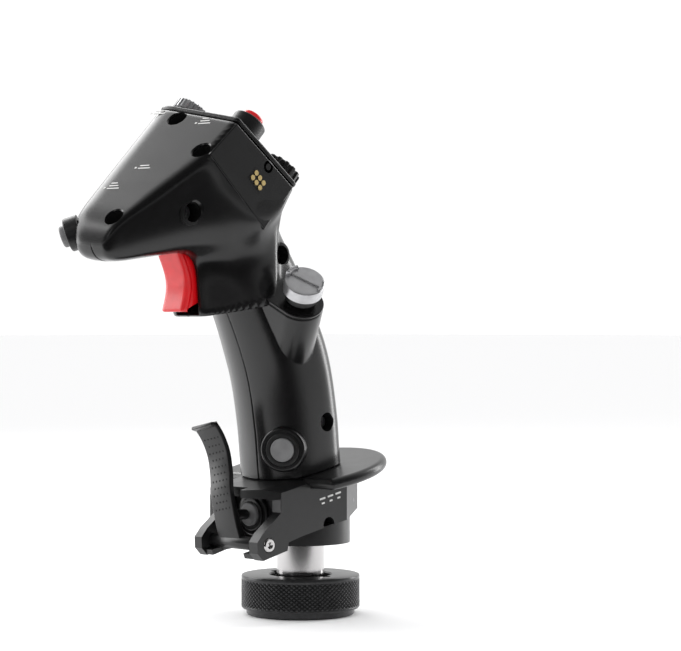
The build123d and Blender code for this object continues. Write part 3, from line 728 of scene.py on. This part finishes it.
pod = {
    "frame": ((-25.4, 24.6, 121.0), (-0.593, 0.346, 0.727), (0, 1, 0)),
    "radius": 9.0, "facet": 17.8, "reach": 18.0, "cap": (7.55, 5.2, 10.6), "slotTurn": 118.4,
    "depth": 26.0, "rim": 1.1, "gap": 0.22,
}
pinky = {"frame": ((-12.2, 20.6, 65.0), (-0.57, 0.82, -0.05), (0, 0, 1)), "collar": 8.5, "bore": 4.65,
         "proud": 2.2}
nose = {"frame": ((15.5, 100.5, 144.8), (0.70, 0.64, -0.32), (0, 0, 1)), "bore": 4.15, "proud": 1.2}
contacts = {"place": (-23.6, 44.7, 165.2), "across": (0, -1, 1), "insert": (-23.6, 39.2, 170.4)}

skins = {}
buildSkin()
slotCutter, holeGrids, seatGrids = buildCutters()
everyGrid = holeGrids + seatGrids
holeCutters = [cutterOf(f"holeCutter{i}", *grid) for i, grid in enumerate(everyGrid)]
for key, piece in skins.items():
    cutAway(piece, holeCutters + [slotCutter])
for cutter in holeCutters + [slotCutter]:
    bpy.data.objects.remove(cutter, do_unlink=True)
print("head and handle made")


# ---- wells of the shell screws ----

def buildWells():
    r = shared["holeRadius"]
    low = -wells["depth"] + 1.2
    profile = [(r - 0.02, -1.0), (r + 1.2, -1.6), (r + 1.2, low - 1.2), (0, low - 1.2), (0, low),
               (r - 0.02, low)]
    grids = []
    for place, normal in wells["places"]:
        points, quads = turnedGrid(profile, 48, ring=True)
        grids.append((placed(points, place, normal, (0.1, 1, 0.2)), quads, []))
    points, quads, caps = joined(grids)
    # the well cups are painted darker than the shell: painted shade inside the screw holes
    makePiece("screw_wells", points, quads, finish["paintedShadeBlack"], "grip")


buildWells()


# ---- thumb plate and plate for side modules ----

def facePlate(name, centrePoint, normal, field, thick, edge, body, node, around=360, inset=0.0):
    # outline: where rays in the plane of the face leave the head; then a slab with a rounded rim
    n = unit(normal)
    x = unit(np.array([0.3, 1.0, 0.2]) - n * (np.array([0.3, 1.0, 0.2]) @ n))
    y = np.cross(n, x)
    turn = np.arange(around) * 2 * math.pi / around
    direction = np.cos(turn)[:, None] * x + np.sin(turn)[:, None] * y
    start = np.asarray(centrePoint, float)
    rim = along(np.broadcast_to(start, direction.shape), direction, lambda p: field(p) + inset, 60.0)
    outline = np.stack([(rim - start) @ x, (rim - start) @ y], 1)
    points, quads, caps = slabGrid(outline, -thick, 0, edge, 5)
    world = start + points[:, :1] * x + points[:, 1:2] * y + points[:, 2:3] * n
    return makePiece(name, world, quads, finish["shellPlastic"], body, caps=caps, replaces=node)


thumbCentre = onFace(thumbNormal, thumbPoint, 0.0, 38.0)
def plateField(p):
    return softMax(snoutField(p), face(p, "sidePlate"), 2.0)


def moduleOutline(p):
    # crisp corners where the flank, the label face, the heel and the thumb plate meet this face
    faces = [face(p, name) for name in ("label", "leftFlank", "heelLeft")]
    return np.max(faces + [planeField(p, thumbNormal, thumbPoint) + 2.2], 0)


thumbPlate = facePlate("thumb_face", thumbCentre, thumbNormal, plateField, 2.0, 0.8, "grip",
                       ("thumb_plate",))
modulePlate = facePlate("module_face_plate", (-23.6, 47.0, 166.0), (-1, 0, 0),
                        moduleOutline, 1.6, 0.4, "grip", (), inset=0.7)
plateCutters = []
for i, grid in enumerate(seatGrids[-2:]):
    plateCutters.append(cutterOf(f"plateCutter{i}", *grid))
cutAway(modulePlate, plateCutters)
for cutter in plateCutters:
    bpy.data.objects.remove(cutter, do_unlink=True)
print("plates made")


# ---- rings and buttons ----

def ringGrid(outer, bore, low, high, edge=0.5, steps=5, around=96):
    # a ring with a rounded outer upper rim and a small round at its bore
    a = np.linspace(0, math.pi / 2, steps)
    rim = np.stack([outer - edge + edge * np.cos(a), high - edge + edge * np.sin(a)], 1)
    mouth = np.stack([bore + 0.25 - 0.25 * np.sin(a), high - 0.25 + 0.25 * np.cos(a)], 1)
    profile = np.concatenate([[(bore, low), (outer, low)], rim, mouth])
    return turnedGrid(profile, around, ring=True)


def addTurned(name, profile, frameOf, material, body, nodes, around=96):
    points, quads = turnedGrid(profile, around)
    return makePiece(name, placed(points, *frameOf), quads, material, body, nodes)


def addRing(name, sizes, frameOf, material, body, nodes, edge=0.5):
    points, quads = ringGrid(*sizes, edge=edge)
    return makePiece(name, placed(points, *frameOf), quads, material, body, nodes)


plunger = {"frame": ((0, 24.6, 40.2), (0, 1, 0), (1, 0, 0))}
release = {"frame": (onFace(thumbNormal, thumbPoint, -14.6, 44.6), thumbNormal, (1, 0, 0))}
addRing("pinky_ring", (8.5, 4.65, -6.4, 2.2), pinky["frame"], finish["shellPlastic"], "grip",
        ("pinky_collar",), 0.9)
addRing("pinky_inner_ring", (6.4, 4.62, 1.0, 2.7), pinky["frame"], finish["blackCap"], "grip", (), 0.5)
addTurned("pinky_cap", drumProfile(4.5, -4.6, 3.6, 0.5), pinky["frame"], finish["greyCap"],
          "pinky_button",
          ("pinky_button",))
addRing("nose_ring", (6.2, 4.15, -4.0, 1.2), nose["frame"], finish["blackCap"], "grip", ("nose_bezel",),
        0.7)
addTurned("nose_cap", drumProfile(4.0, -3.4, 3.4, 0.8, dish=0.2), nose["frame"], finish["greyCap"],
          "nose_button",
          ("nose_button",))
addRing("plunger_collar", (8.2, 4.6, -2.9, 1.2), plunger["frame"], finish["coatedMetal"], "grip",
        ("plunger_ring",), 0.6)
addRing("plunger_inner_ring", (6.3, 4.6, 0.6, 2.1), plunger["frame"], finish["blackCap"], "grip", (),
        0.45)
addTurned("plunger_cap", drumProfile(4.45, -2.0, 3.2, 0.45), plunger["frame"], finish["greyCap"],
          "paddle_plunger",
          ("paddle_plunger",))
addRing("release_ring", (6.6, 4.35, 0.0, 6.4), release["frame"], finish["blackCap"], "grip",
        ("release_bezel",), 0.7)
addTurned("release_cap", drumProfile(4.2, 1.8, 9.0, 1.0, dish=-0.1), release["frame"],
          finish["redGloss"],
          "release_button", ("release_button",))
print("buttons made")


# ---- hats ----

def gearProfile(teeth, tip, root, samples=12):
    # radius round a toothed rim: flats and gaps joined by steep steps
    u = np.arange(teeth * samples) * 2 * math.pi / (teeth * samples)
    wave = np.clip(2.4 * np.cos(teeth * u), -1, 1)
    return u, root + (tip - root) * (wave + 1) / 2


def toothedGrid(teeth, tip, root, low, high, edge, dish):
    # rings from the centre of the top over a rounded rim to the underside, rim radius from gearProfile
    u, r = gearProfile(teeth, tip, root)
    a = np.linspace(0, math.pi / 2, 5)
    share = np.concatenate([np.linspace(0, 0.62, 6), np.linspace(0.7, 1, 4)[:-1], np.ones(8)])
    inset = np.concatenate([np.full(9, edge), edge * (1 - np.sin(a)), [0, 0.15, 0.15]])
    z = np.concatenate([high - dish * (1 - np.linspace(0, 1, 9) ** 2), high - edge + edge * np.cos(a),
                        [low + 0.15, low, low]])
    share[-1] = 0.0
    radius = share[:, None] * np.maximum(r[None] - inset[:, None], 0)
    x = radius * np.cos(u)
    y = radius * np.sin(u)
    points = np.stack([x, y, np.broadcast_to(z[:, None], x.shape)], -1)
    return points.reshape(-1, 3), gridQuads(points.shape[0], points.shape[1], closedColumns=True)


hatLooks = {
    # x and y on the face, tip and root radius, teeth, height of the cap, finish
    "trim_hat": (13.5, 47.0, 7.4, 6.9, 24, 4.1, "silverCap"),
    "target_hat": (-9.3, 23.6, 8.0, 7.2, 14, 5.0, "blackCap"),
    "display_hat": (11.0, 26.5, 7.0, 6.5, 24, 4.6, "blackCap"),
}


def addHat(name, x, y, tip, root, teeth, height, look):
    rise = 1.6
    place = onFace(thumbNormal, thumbPoint, x, y)
    cap = toothedGrid(teeth, tip, root, rise, rise + height, 0.6, 0.9)
    crown = toothedGrid(4, tip * 0.62, tip * 0.34, rise + height - 1.1, rise + height, 0.5, 0.4)
    stem = turnedGrid(drumProfile(2.2, -1.4, rise + 0.5, 0.2), 48)
    points, quads, caps = joined([(*cap, []), (*crown, []), (*stem, [])])
    makePiece(name + "_cap", placed(points, place, thumbNormal), quads, finish[look], name, (name,))
    ring = ringGrid(tip * 0.82, 4.7, -0.2, 0.3, 0.2)
    makePiece(name + "_seat", placed(ring[0], place, thumbNormal), ring[1], finish["shellPlastic"],
              "grip")


for name, sizes in hatLooks.items():
    addHat(name, *sizes)


def buildSideHat():
    frameOf = pod["frame"]
    r = pod["radius"]
    turn = np.radians(np.linspace(pod["facet"], 180, 60))
    facet = math.radians(pod["facet"])
    run = np.array([math.sin(facet), -math.cos(facet)]) * pod["reach"]
    arc = np.stack([r * np.cos(turn), r * np.sin(turn)], 1)
    outline = np.concatenate([arc, [(-r, run[1] + arc[0, 1]), arc[0] + run]])
    points, quads, caps = slabGrid(outline, -pod["depth"], -pod["rim"] - pod["gap"], 1.1, 6)
    makePiece("pod_body", placed(points, *frameOf), quads, finish["shellPlastic"], "grip",
              ("side_hat_pod",), caps=caps)
    # a slab filling the gap under the rim, painted near black: painted shade in the gap
    inner = outline - outwardOf(outline) * 0.35
    points, quads, caps = slabGrid(inner, -pod["rim"] - pod["gap"] - 0.5, -pod["rim"] + 0.2, 0.05, 2)
    makePiece("pod_joint", placed(points, *frameOf), quads, finish["paintedShadeBlack"], "grip", caps=caps)
    points, quads, caps = slabGrid(outline, -pod["rim"], 0.0, 0.35, 4)
    makePiece("pod_rim", placed(points, *frameOf), quads, finish["shellPlastic"], "grip",
              ("side_hat_bezel",), caps=caps)
    capRadius, capLow, capTop = pod["cap"]
    addTurned("side_hat_skirt", drumProfile(6.0, 1.6, capLow + 0.1, 0.3), frameOf, finish["blackCap"],
              "side_hat", ())
    drum = turnedGrid(drumProfile(capRadius, capLow, capTop - 0.7, 0.35), 128)

    def sector(first, last, inner, outer, low, high, edge):
        t = np.radians(np.linspace(first, last, 40))
        rim = np.stack([outer * np.cos(t), outer * np.sin(t)], 1)
        hole = np.stack([inner * np.cos(t[::-1]), inner * np.sin(t[::-1])], 1)
        return slabGrid(np.concatenate([rim, hole]), low, high, edge, 4)

    # the half beyond the slot stands higher; two ears rise from the rim at the slot's ends
    turn = pod["slotTurn"]
    half = np.radians(np.linspace(turn, turn + 180, 60))
    raised = slabGrid(np.stack([(capRadius - 0.05) * np.cos(half), (capRadius - 0.05) * np.sin(half)],
                               1),
                      capTop - 1.2, capTop, 0.45, 4)
    ears = [sector(first, first + 46, 5.9, capRadius, capTop - 1.2, capTop + lift, 0.5)
            for first, lift in [(-99, 1.2), (106, 0.0)]]
    points, quads, caps = joined([(*drum, []), raised] + ears)
    makePiece("side_hat_cap", placed(points, *frameOf), quads, finish["silverCap"], "side_hat",
              ("side_hat",), caps=caps)


buildSideHat()
print("hats made")


# ---- trigger ----

trigger = {
    "low": 116.9, "tip": 138.4, "half": 6.0, "hollow": 2.9, "round": 1.5,
    # height and rear edge; height and front edge above the finger face
    "rear": [(116.9, 65.2), (118.0, 62.9), (120.4, 57.6), (124.0, 54.2), (145.0, 54.0), (150.6, 57.0)],
    "brow": [(138.4, 68.1), (143.0, 69.4), (147.0, 67.0), (150.6, 63.6)],
}


def buildTrigger():
    # level sections from the lower tip up; each has a crisp ridge along both sides of its finger face
    shape = trigger
    z = np.concatenate([shape["low"] + np.array([0.0, 0.25, 0.7]), np.linspace(118.2, 149.8, 46),
                        [150.35, 150.6]])
    t = np.clip((z - shape["low"]) / (shape["tip"] - shape["low"]), 0, 1)
    finger = 66.0 + 2.1 * t - shape["hollow"] * np.sin(math.pi * t) ** 1.15
    brow = np.interp(z, *np.array(shape["brow"]).T)
    front = np.where(z < shape["tip"], finger, brow)
    rear = np.interp(z, *np.array(shape["rear"]).T)
    pinch = 0.55 * np.clip(1 - (z - shape["low"]) / 0.7, 0, 1) ** 2 + 0.5 * np.clip((z - 149.9) / 0.7,
                                                                                    0, 1) ** 2
    rows = []
    for level, ahead, behind, inset in zip(z, front, rear, pinch):
        half = shape["half"] - inset
        ahead, behind = ahead - inset, min(behind + inset, ahead - inset - 1.2)
        r = shape["round"]
        box = [(half - 0.35, ahead - 3.2), (half - 0.35, behind), (-half + 0.35, behind), (-half + 0.35,
                                                                                           ahead - 3.2),
               (-half, ahead - 2.2), (-half, ahead - 0.2), (-half + 1.6, ahead - 0.1), (half - 1.6,
                                                                                        ahead - 0.1),
               (half, ahead - 0.2), (half, ahead - 2.2)]
        ring = roundedPath(box, [0.4, 0.5, 0.5, 0.4, 0.5, r, 1.0, 1.0, r, 0.5], 5)
        rows.append(np.concatenate([ring, np.full((len(ring), 1), level)], 1))
    points = np.array(rows)
    count = points.shape[1]
    caps = [np.arange(count)[::-1], (len(z) - 1) * count + np.arange(count)]
    makePiece("trigger_blade", points.reshape(-1, 3), gridQuads(len(z), count, closedColumns=True),
              finish["redGloss"], "trigger", ("trigger",), caps=caps, angle=50)


buildTrigger()


# ---- ring nut, post ----

nut = {"radius": 23.0, "lip": 21.0, "lipHeight": 2.4, "height": 15.4, "eye": 12.0, "roof": 4.0,
       "thread": 16.9,
       "around": 72, "up": 7, "depth": 0.40, "samples": 8}


def buildNut():
    # outer wall: diamonds stand between two families of crossing grooves, smooth bands above and below
    columns = nut["around"] * nut["samples"]
    u = np.arange(columns) / columns
    low, high = nut["lipHeight"] + 0.7, nut["height"] - 1.3
    v = np.linspace(0, 1, nut["up"] * nut["samples"] + 1)
    a = u[None] * nut["around"] + v[:, None] * nut["up"]
    b = u[None] * nut["around"] - v[:, None] * nut["up"]
    ridge = np.minimum(np.abs(a % 1 - 0.5), np.abs(b % 1 - 0.5)) * 2
    fade = np.clip(np.minimum(v, 1 - v) * nut["up"] * 2, 0, 1)[:, None]
    radius = nut["radius"] - nut["depth"] * (1 - np.minimum(ridge * 2.0, 1)) * fade
    z = np.broadcast_to((low + (high - low) * v)[:, None], radius.shape)

    def band(pairs):
        pairs = np.array(pairs)
        return np.repeat(pairs[:, :1], columns, 1), np.repeat(pairs[:, 1:], columns, 1)

    R, top = nut["radius"], nut["height"]
    under = band([(R - 0.1, low - 0.25), (R - 0.5, nut["lipHeight"]), (nut["lip"], nut["lipHeight"]),
                  (nut["lip"], 0.5), (nut["lip"] - 0.5, 0.0), (nut["thread"] + 0.6, 0.0),
                  (nut["thread"], 0.6)])
    over = band([(R, high + 0.2), (R, top - 0.55), (R - 0.16, top - 0.16), (R - 0.55, top),
                 (nut["eye"] + 0.5, top), (nut["eye"], top - 0.5), (nut["eye"], top - nut["roof"]),
                 (nut["thread"] + 0.5, top - nut["roof"])])
    r = np.concatenate([under[0][::-1], radius, over[0]])
    h = np.concatenate([under[1][::-1], z, over[1]])
    turn = u * 2 * math.pi
    points = np.stack([r * np.cos(turn), r * np.sin(turn), h], -1)
    quads = gridQuads(len(r), columns, closedRows=True, closedColumns=True)
    piece = makePiece("nut_body", points, quads, finish["knurledMetal"], "ring_nut", ("knurled_nut",),
                      angle=42)
    slotBox = roundedPath([(-15.5, -2.4), (15.5, -2.4), (15.5, 2.4), (-15.5, 2.4)], 2.2, 6)
    keyway = cutterOf("keyCutter", *slabGrid(slotBox, top - 1.6, top + 2, 0.05, 2))
    grub = turnedGrid([(0, -3.2), (1.15, -3.2), (1.15, 2), (0, 2)], 24)
    bore = cutterOf("grubCutter", placed(grub[0], (-R, 0, 5.6), (-1, 0, 0)), grub[1])
    cutAway(piece, [keyway, bore])
    piece.data.set_sharp_from_angle(angle=math.radians(42))
    for cutter in (keyway, bore):
        bpy.data.objects.remove(cutter, do_unlink=True)


buildNut()
postProfile = [(6.2, 6.8), (9.35, 6.8), (9.35, 11.6), (9.1, 11.8), (9.1, 12.2), (9.35, 12.4), (9.35,
    46.6), (6.2, 47.0)]
postPoints, postQuads = turnedGrid(postProfile, 160, ring=True)
makePiece("post_tube", postPoints, postQuads, finish["chromePlate"], "grip", ("post",))
print("nut and post made")


# ---- hand rest, base block, paddle ----

def buildHandRest():
    r = shared["deckRadius"] - 0.02
    reach = math.acos((shared["restFront"] - shared["deckCentre"]) / r)
    turn = np.linspace(math.pi / 2 + reach, math.pi * 2.5 - reach, 220)
    arc = np.stack([r * np.cos(turn), r * np.sin(turn) + shared["deckCentre"]], 1)
    chord = [(arc[-1, 0] - 1.2, arc[-1, 1] + 0.9), (arc[0, 0] + 1.2, arc[0, 1] + 0.9)]
    points, quads, caps = slabGrid(np.concatenate([arc, chord]), -shared["restThickness"], 0.0, 2.1, 8)
    makePiece("rest_disc", leaned(points), quads, finish["coatedMetal"], "grip", ("hand_rest",),
              caps=caps, angle=50)


def bevelled(node, name, look, width=0.45, segments=3, angle=28):
    # a merged copy of a CAD piece with its edges rounded
    source = frame["nodes"][node]
    mesh = source.data.copy()
    if "custom_normal" in mesh.attributes:
        mesh.attributes.remove(mesh.attributes["custom_normal"])
    work = bmesh.new()
    work.from_mesh(mesh)
    bmesh.ops.remove_doubles(work, verts=work.verts, dist=0.00001)
    flatAngle = math.radians(0.6)
    bmesh.ops.dissolve_limit(work, angle_limit=flatAngle, verts=work.verts, edges=work.edges)
    work.to_mesh(mesh)
    work.free()
    piece = bpy.data.objects.new(name, mesh)
    bpy.context.scene.collection.objects.link(piece)
    mesh.materials.clear()
    mesh.materials.append(finish[look])
    mesh.shade_smooth()
    mesh.set_sharp_from_angle(angle=math.radians(angle))
    rounding = piece.modifiers.new("rounding", "BEVEL")
    rounding.width = width * mm
    rounding.segments = segments
    rounding.limit_method = "ANGLE"
    rounding.angle_limit = math.radians(angle)
    rounding.harden_normals = True
    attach(piece, source["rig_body"])
    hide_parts(node)
    return piece


buildHandRest()
bevelled("base_left", "base_block_left", "coatedMetal")
bevelled("base_right", "base_block_right", "coatedMetal")
bevelled("collar", "collar_ring", "coatedMetal", 0.5)

paddleShape = {
    # height on the blade and forward place of its front face
    "front": [(-2.4, 1.2), (0.0, 1.6), (4.0, 2.2), (12.0, 2.8), (20.0, 2.8), (27.0, 1.9), (35.0, 2.2),
              (42.0, 4.9), (44.4, 6.5)],
    "thick": 2.7, "half": 5.8, "rows": 9, "pitch": 2.7, "dotPitch": 1.9, "dotRadius": 0.46,
    "firstRow": 12.6,
}


def smoothTable(table, h):
    # cubic through a table's points with finite slopes
    table = np.asarray(table, float)
    slopes = np.gradient(table[:, 1], table[:, 0])
    h = np.clip(h, table[0, 0], table[-1, 0])
    k = np.clip(np.searchsorted(table[:, 0], h, side="right") - 1, 0, len(table) - 2)
    span = table[k + 1, 0] - table[k, 0]
    t = (h - table[k, 0]) / span
    a = table[k, 1] * (1 + 2 * t) * (1 - t) ** 2 + slopes[k] * span * t * (1 - t) ** 2
    b = table[k + 1, 1] * t ** 2 * (3 - 2 * t) + slopes[k + 1] * span * t ** 2 * (t - 1)
    return a + b


def paddlePlace(points):
    # from the blade's own frame: rolled about Y, then moved to the axle
    a = math.radians(shared["paddleRoll"])
    p = np.asarray(points, float)
    x = p[..., 0] * math.cos(a) + p[..., 2] * math.sin(a)
    z = p[..., 2] * math.cos(a) - p[..., 0] * math.sin(a)
    return np.stack([x, p[..., 1] + shared["axle"][0], z + shared["axle"][1]], -1)


def buildPaddle():
    shape = paddleShape
    h = np.linspace(-2.4, 44.4, 120)
    front = smoothTable(shape["front"], h)
    slope = np.gradient(front, h)
    n = np.stack([np.ones_like(h), -slope], 1) / np.hypot(1, slope)[:, None]
    thick = shape["thick"] * (0.75 + 0.5 * np.exp(-(h / 9.0) ** 2))[:, None]
    face = np.stack([front, h], 1)
    rear = face - n * thick
    outline = np.concatenate([face, rear[::-1]])
    points, quads, caps = slabGrid(outline, -shape["half"], shape["half"], 0.55, 5)
    blade = (paddlePlace(points[:, [2, 0, 1]]), quads, caps)
    hook = slabGrid(roundedPath([(5.2, 43.2), (8.0, 44.1), (7.6, 45.3), (4.2, 45.0)], 0.4, 4),
                    -shape["half"],
                    shape["half"], 0.3, 3)
    hook = (paddlePlace(hook[0][:, [2, 0, 1]]), hook[1], hook[2])
    low, high = shared["barrel"]
    barrel = turnedGrid([(1.6, low), (2.2, low), (2.5, low + 0.3), (2.5, high - 0.3), (2.2, high), (1.6,
        high)], 72,
                        ring=True)
    barrel = (placed(barrel[0], (0, *shared["axle"]), (1, 0, 0), (0, 1, 0)), barrel[1], [])
    pusher = turnedGrid(drumProfile(2.0, 0.0, 6.4, 1.2), 40)
    pusher = (placed(pusher[0], (0, 34.6, 40.2), (0, -1, 0)), pusher[1], [])
    points, quads, caps = joined([blade, hook, barrel, pusher])
    makePiece("paddle_lever", points, quads, finish["coatedMetal"], "paddle", ("paddle",), caps=caps,
              angle=45)
    # rows of small dimples on the pad, drawn as shallow dots painted near black: painted shade for the
    # dimples' hollows
    spots = []
    for row in range(shape["rows"] + 2):
        count = 5 - row % 2
        height = shape["firstRow"] + row * shape["pitch"]
        for i in range(count):
            spots.append(((i - (count - 1) / 2) * shape["dotPitch"], height))
    spots = np.array(spots)
    forward = smoothTable(shape["front"], spots[:, 1])
    tilt = (smoothTable(shape["front"], spots[:, 1] + 0.2) - forward) / 0.2
    dot = turnedGrid(drumProfile(shape["dotRadius"], -0.25, 0.05, 0.1, 2), 12)
    dots = []
    for (x, z), f, k in zip(spots, forward, tilt):
        dots.append((placed(dot[0], (x, f, z), (0, 1, -k), (1, 0, 0)), dot[1], []))
    points, quads, caps = joined(dots)
    makePiece("paddle_dimples", paddlePlace(points), quads, finish["paintedShadeBlack"], "paddle", caps=caps)


buildPaddle()


def buildAxle():
    y, z = shared["axle"]
    x = shared["baseHalf"]
    rod = turnedGrid([(0, -18.6), (1.5, -18.6), (1.5, 13.9), (0, 13.9)], 40)
    head = turnedGrid([(0, -0.35), (0.55, -0.35), (1.15, 0.55), (1.35, 0.75), (2.2, 0.75), (2.62, 0.35),
                       (2.75, -0.1),
                       (2.75, -1.2), (0, -1.2)], 64)
    parts = [(placed(rod[0], (0, y, z), (1, 0, 0), (0, 1, 0)), rod[1], []),
             (placed(head[0], (-x + 0.15, y, z), (-1, 0, 0), (0, 1, 0)), head[1], [])]
    points, quads, caps = joined(parts)
    makePiece("axle_screw", points, quads, finish["chromePlate"], "grip", ("paddle_axle",), caps=caps)


buildAxle()
print("base and paddle made")


# ---- printed marks: plain bars and dots ----

def addMarks():
    bars = []

    def bar(place, normal, side, width, height, along=0.0, across=0.0):
        box = np.array([(-width / 2, -height / 2), (width / 2, -height / 2), (width / 2, height / 2),
                        (-width / 2, height / 2)])
        box = box + (along, across)
        points, quads, caps = slabGrid(roundedPath(box, min(width, height) * 0.3, 3), -0.15, 0.06, 0.02,
                                       2)
        bars.append((placed(points, place, normal, side), quads, caps))

    sideways = (1, 0.25, 0)
    for x, y, kind in [(15.5, 58.6, 2), (-9.6, 58.4, 3), (-0.6, 79.6, 2), (5.2, 89.4, 3)]:
        place = onFace(labelNormal, labelPoint, x, y)
        for i in range(kind):
            bar(place, labelNormal, sideways, 5.4 - 1.3 * i, 0.55, 0.4 * i, -1.5 * i)
        bar(place, labelNormal, sideways, 0.9, 0.9, 3.9, -0.4)
    for i in range(3):
        bar((-20.03, 7.5 - 4.2 * i, 45.2 + 0.85 * i), (-1, 0, 0), (0, -1, 0.2), 3.0, 0.7, 0.0, 0.9)
        bar((-20.03, 7.5 - 4.2 * i, 45.2 + 0.85 * i), (-1, 0, 0), (0, -1, 0.2), 1.6, 0.7, 0.0, -0.9)
    points, quads, caps = joined(bars)
    makePiece("printed_marks", points, quads, finish["inkWhite"], "grip", caps=caps)


addMarks()


# ---- camera, light and floor ----

stage = {
    "camera": (-0.6163, 0.5943, 0.1119), "lens": 116.3, "sensor": 36.0, "azimuth": 225.0,
    "floorSize": 40.0, "floorTone": (0.93, 0.93, 0.935), "room": 1.06,
    # brightness seen in reflections, from straight in front (0) to straight behind (1)
    "mirrored": [(0.0, 0.02), (0.35, 0.04), (0.52, 0.35), (0.72, 0.95), (1.0, 1.15)],
}


def addCamera():
    data = bpy.data.cameras.new("camera")
    data.lens = stage["lens"]
    data.sensor_width = stage["sensor"]
    data.clip_start = 0.01
    data.clip_end = 60
    camera = bpy.data.objects.new("camera", data)
    camera.location = stage["camera"]
    camera.rotation_euler = (math.radians(90), 0, math.radians(stage["azimuth"]))
    bpy.context.scene.collection.objects.link(camera)
    bpy.context.scene.camera = camera


def addPanel(name, place, aim, size, power):
    # a soft rectangular light that looks at a point
    data = bpy.data.lights.new(name, "AREA")
    data.shape = "RECTANGLE"
    data.size, data.size_y = size
    data.energy = power
    lamp = bpy.data.objects.new(name, data)
    lamp.location = place
    lamp.rotation_euler = (Vector(aim) - Vector(place)).to_track_quat("-Z", "Y").to_euler()
    lamp.visible_camera = False
    bpy.context.scene.collection.objects.link(lamp)


def addFloor():
    mesh = bpy.data.meshes.new("floor")
    h = stage["floorSize"] / 2
    low = cadBox[0][2] - 0.0002
    mesh.from_pydata([(-h, -h, low), (h, -h, low), (h, h, low), (-h, h, low)], [], [(0, 1, 2, 3)])
    floor = bpy.data.objects.new("floor", mesh)
    bpy.context.scene.collection.objects.link(floor)
    material = bpy.data.materials.new("floorPaper")
    material.use_nodes = True
    tree = material.node_tree
    shader = tree.nodes["Principled BSDF"]
    coordinate = tree.nodes.new("ShaderNodeTexCoord")
    noise = tree.nodes.new("ShaderNodeTexNoise")
    noise.inputs["Scale"].default_value = 60
    ramp = tree.nodes.new("ShaderNodeValToRGB")
    tone = np.array(stage["floorTone"])
    ramp.color_ramp.elements[0].color = (*(tone * 0.99), 1)
    ramp.color_ramp.elements[1].color = (*tone, 1)
    tree.links.new(coordinate.outputs["Object"], noise.inputs["Vector"])
    tree.links.new(noise.outputs["Fac"], ramp.inputs["Fac"])
    tree.links.new(ramp.outputs["Color"], shader.inputs["Base Color"])
    shader.inputs["Roughness"].default_value = 0.9
    shader.inputs["Specular IOR Level"].default_value = 0.1
    floor.data.materials.append(material)


def addWorld():
    # an even white room for the floor and the background; what glossy surfaces see of it
    # is dark in front of the object and bright behind it
    world = bpy.data.worlds.new("studio")
    world.use_nodes = True
    bpy.context.scene.world = world
    tree = world.node_tree
    tree.nodes.clear()
    output = tree.nodes.new("ShaderNodeOutputWorld")
    paths = tree.nodes.new("ShaderNodeLightPath")
    mix = tree.nodes.new("ShaderNodeMixShader")
    room = tree.nodes.new("ShaderNodeBackground")
    mirrored = tree.nodes.new("ShaderNodeBackground")
    room.inputs["Color"].default_value = (1, 1, 1, 1)
    room.inputs["Strength"].default_value = stage["room"]
    place = tree.nodes.new("ShaderNodeTexCoord")
    dot = tree.nodes.new("ShaderNodeVectorMath")
    dot.operation = "DOT_PRODUCT"
    dot.inputs[1].default_value = tuple(away)
    span = tree.nodes.new("ShaderNodeMapRange")
    span.inputs["From Min"].default_value = -1
    span.inputs["From Max"].default_value = 1
    ramp = tree.nodes.new("ShaderNodeValToRGB")
    ramp.color_ramp.interpolation = "B_SPLINE"
    stops = stage["mirrored"]
    while len(ramp.color_ramp.elements) < len(stops):
        ramp.color_ramp.elements.new(0.5)
    for element, (at, level) in zip(ramp.color_ramp.elements, stops):
        element.position = at
        element.color = (level, level, level, 1)
    links = tree.links
    links.new(place.outputs["Generated"], dot.inputs[0])
    links.new(dot.outputs["Value"], span.inputs["Value"])
    links.new(span.outputs["Result"], ramp.inputs["Fac"])
    links.new(ramp.outputs["Color"], mirrored.inputs["Color"])
    links.new(paths.outputs["Is Glossy Ray"], mix.inputs["Fac"])
    links.new(room.outputs["Background"], mix.inputs[1])
    links.new(mirrored.outputs["Background"], mix.inputs[2])
    links.new(mix.outputs["Shader"], output.inputs["Surface"])


right = np.array([-0.7071, -0.7071, 0.0])
away = np.array([0.7071, -0.7071, 0.0])
centre = np.array([0.0, 0.035, 0.11])


def studioPlace(r, a, z):
    # right of the object, behind it and height above the floor, as the camera sees them
    return tuple(centre * (1, 1, 0) + right * r + away * a + np.array([0, 0, z]))


def addCard(name, low, high, level):
    # a black card just above the floor, seen only in reflections; corners by right and away
    mesh = bpy.data.meshes.new(name)
    corners = [(low[0], low[1]), (high[0], low[1]), (high[0], high[1]), (low[0], high[1])]
    mesh.from_pydata([studioPlace(r, a, level) for r, a in corners], [], [(0, 1, 2, 3)])
    card = bpy.data.objects.new(name, mesh)
    bpy.context.scene.collection.objects.link(card)
    mesh.materials.append(finish["paintedShadeBlack"])
    card.visible_camera = False
    card.visible_diffuse = False
    card.visible_shadow = False


addCamera()
addFloor()
addWorld()
addCard("frontCard", (-1.4, -1.6), (1.4, -0.13), 0.001)
addPanel("leftPanel", studioPlace(-0.80, 0.28, 0.38), centre, (0.45, 0.9), 4.5)
addPanel("rightPanel", studioPlace(0.72, 0.50, 0.30), centre, (0.20, 0.9), 3.6)
addPanel("topPanel", studioPlace(-0.45, 0.75, 0.80), centre, (0.6, 0.5), 4.0)
addPanel("frontPanel", studioPlace(-0.60, -0.70, 0.50), centre, (0.12, 0.5), 0.5)
bpy.context.scene.view_settings.view_transform = "Standard"
print("camera and lights set")
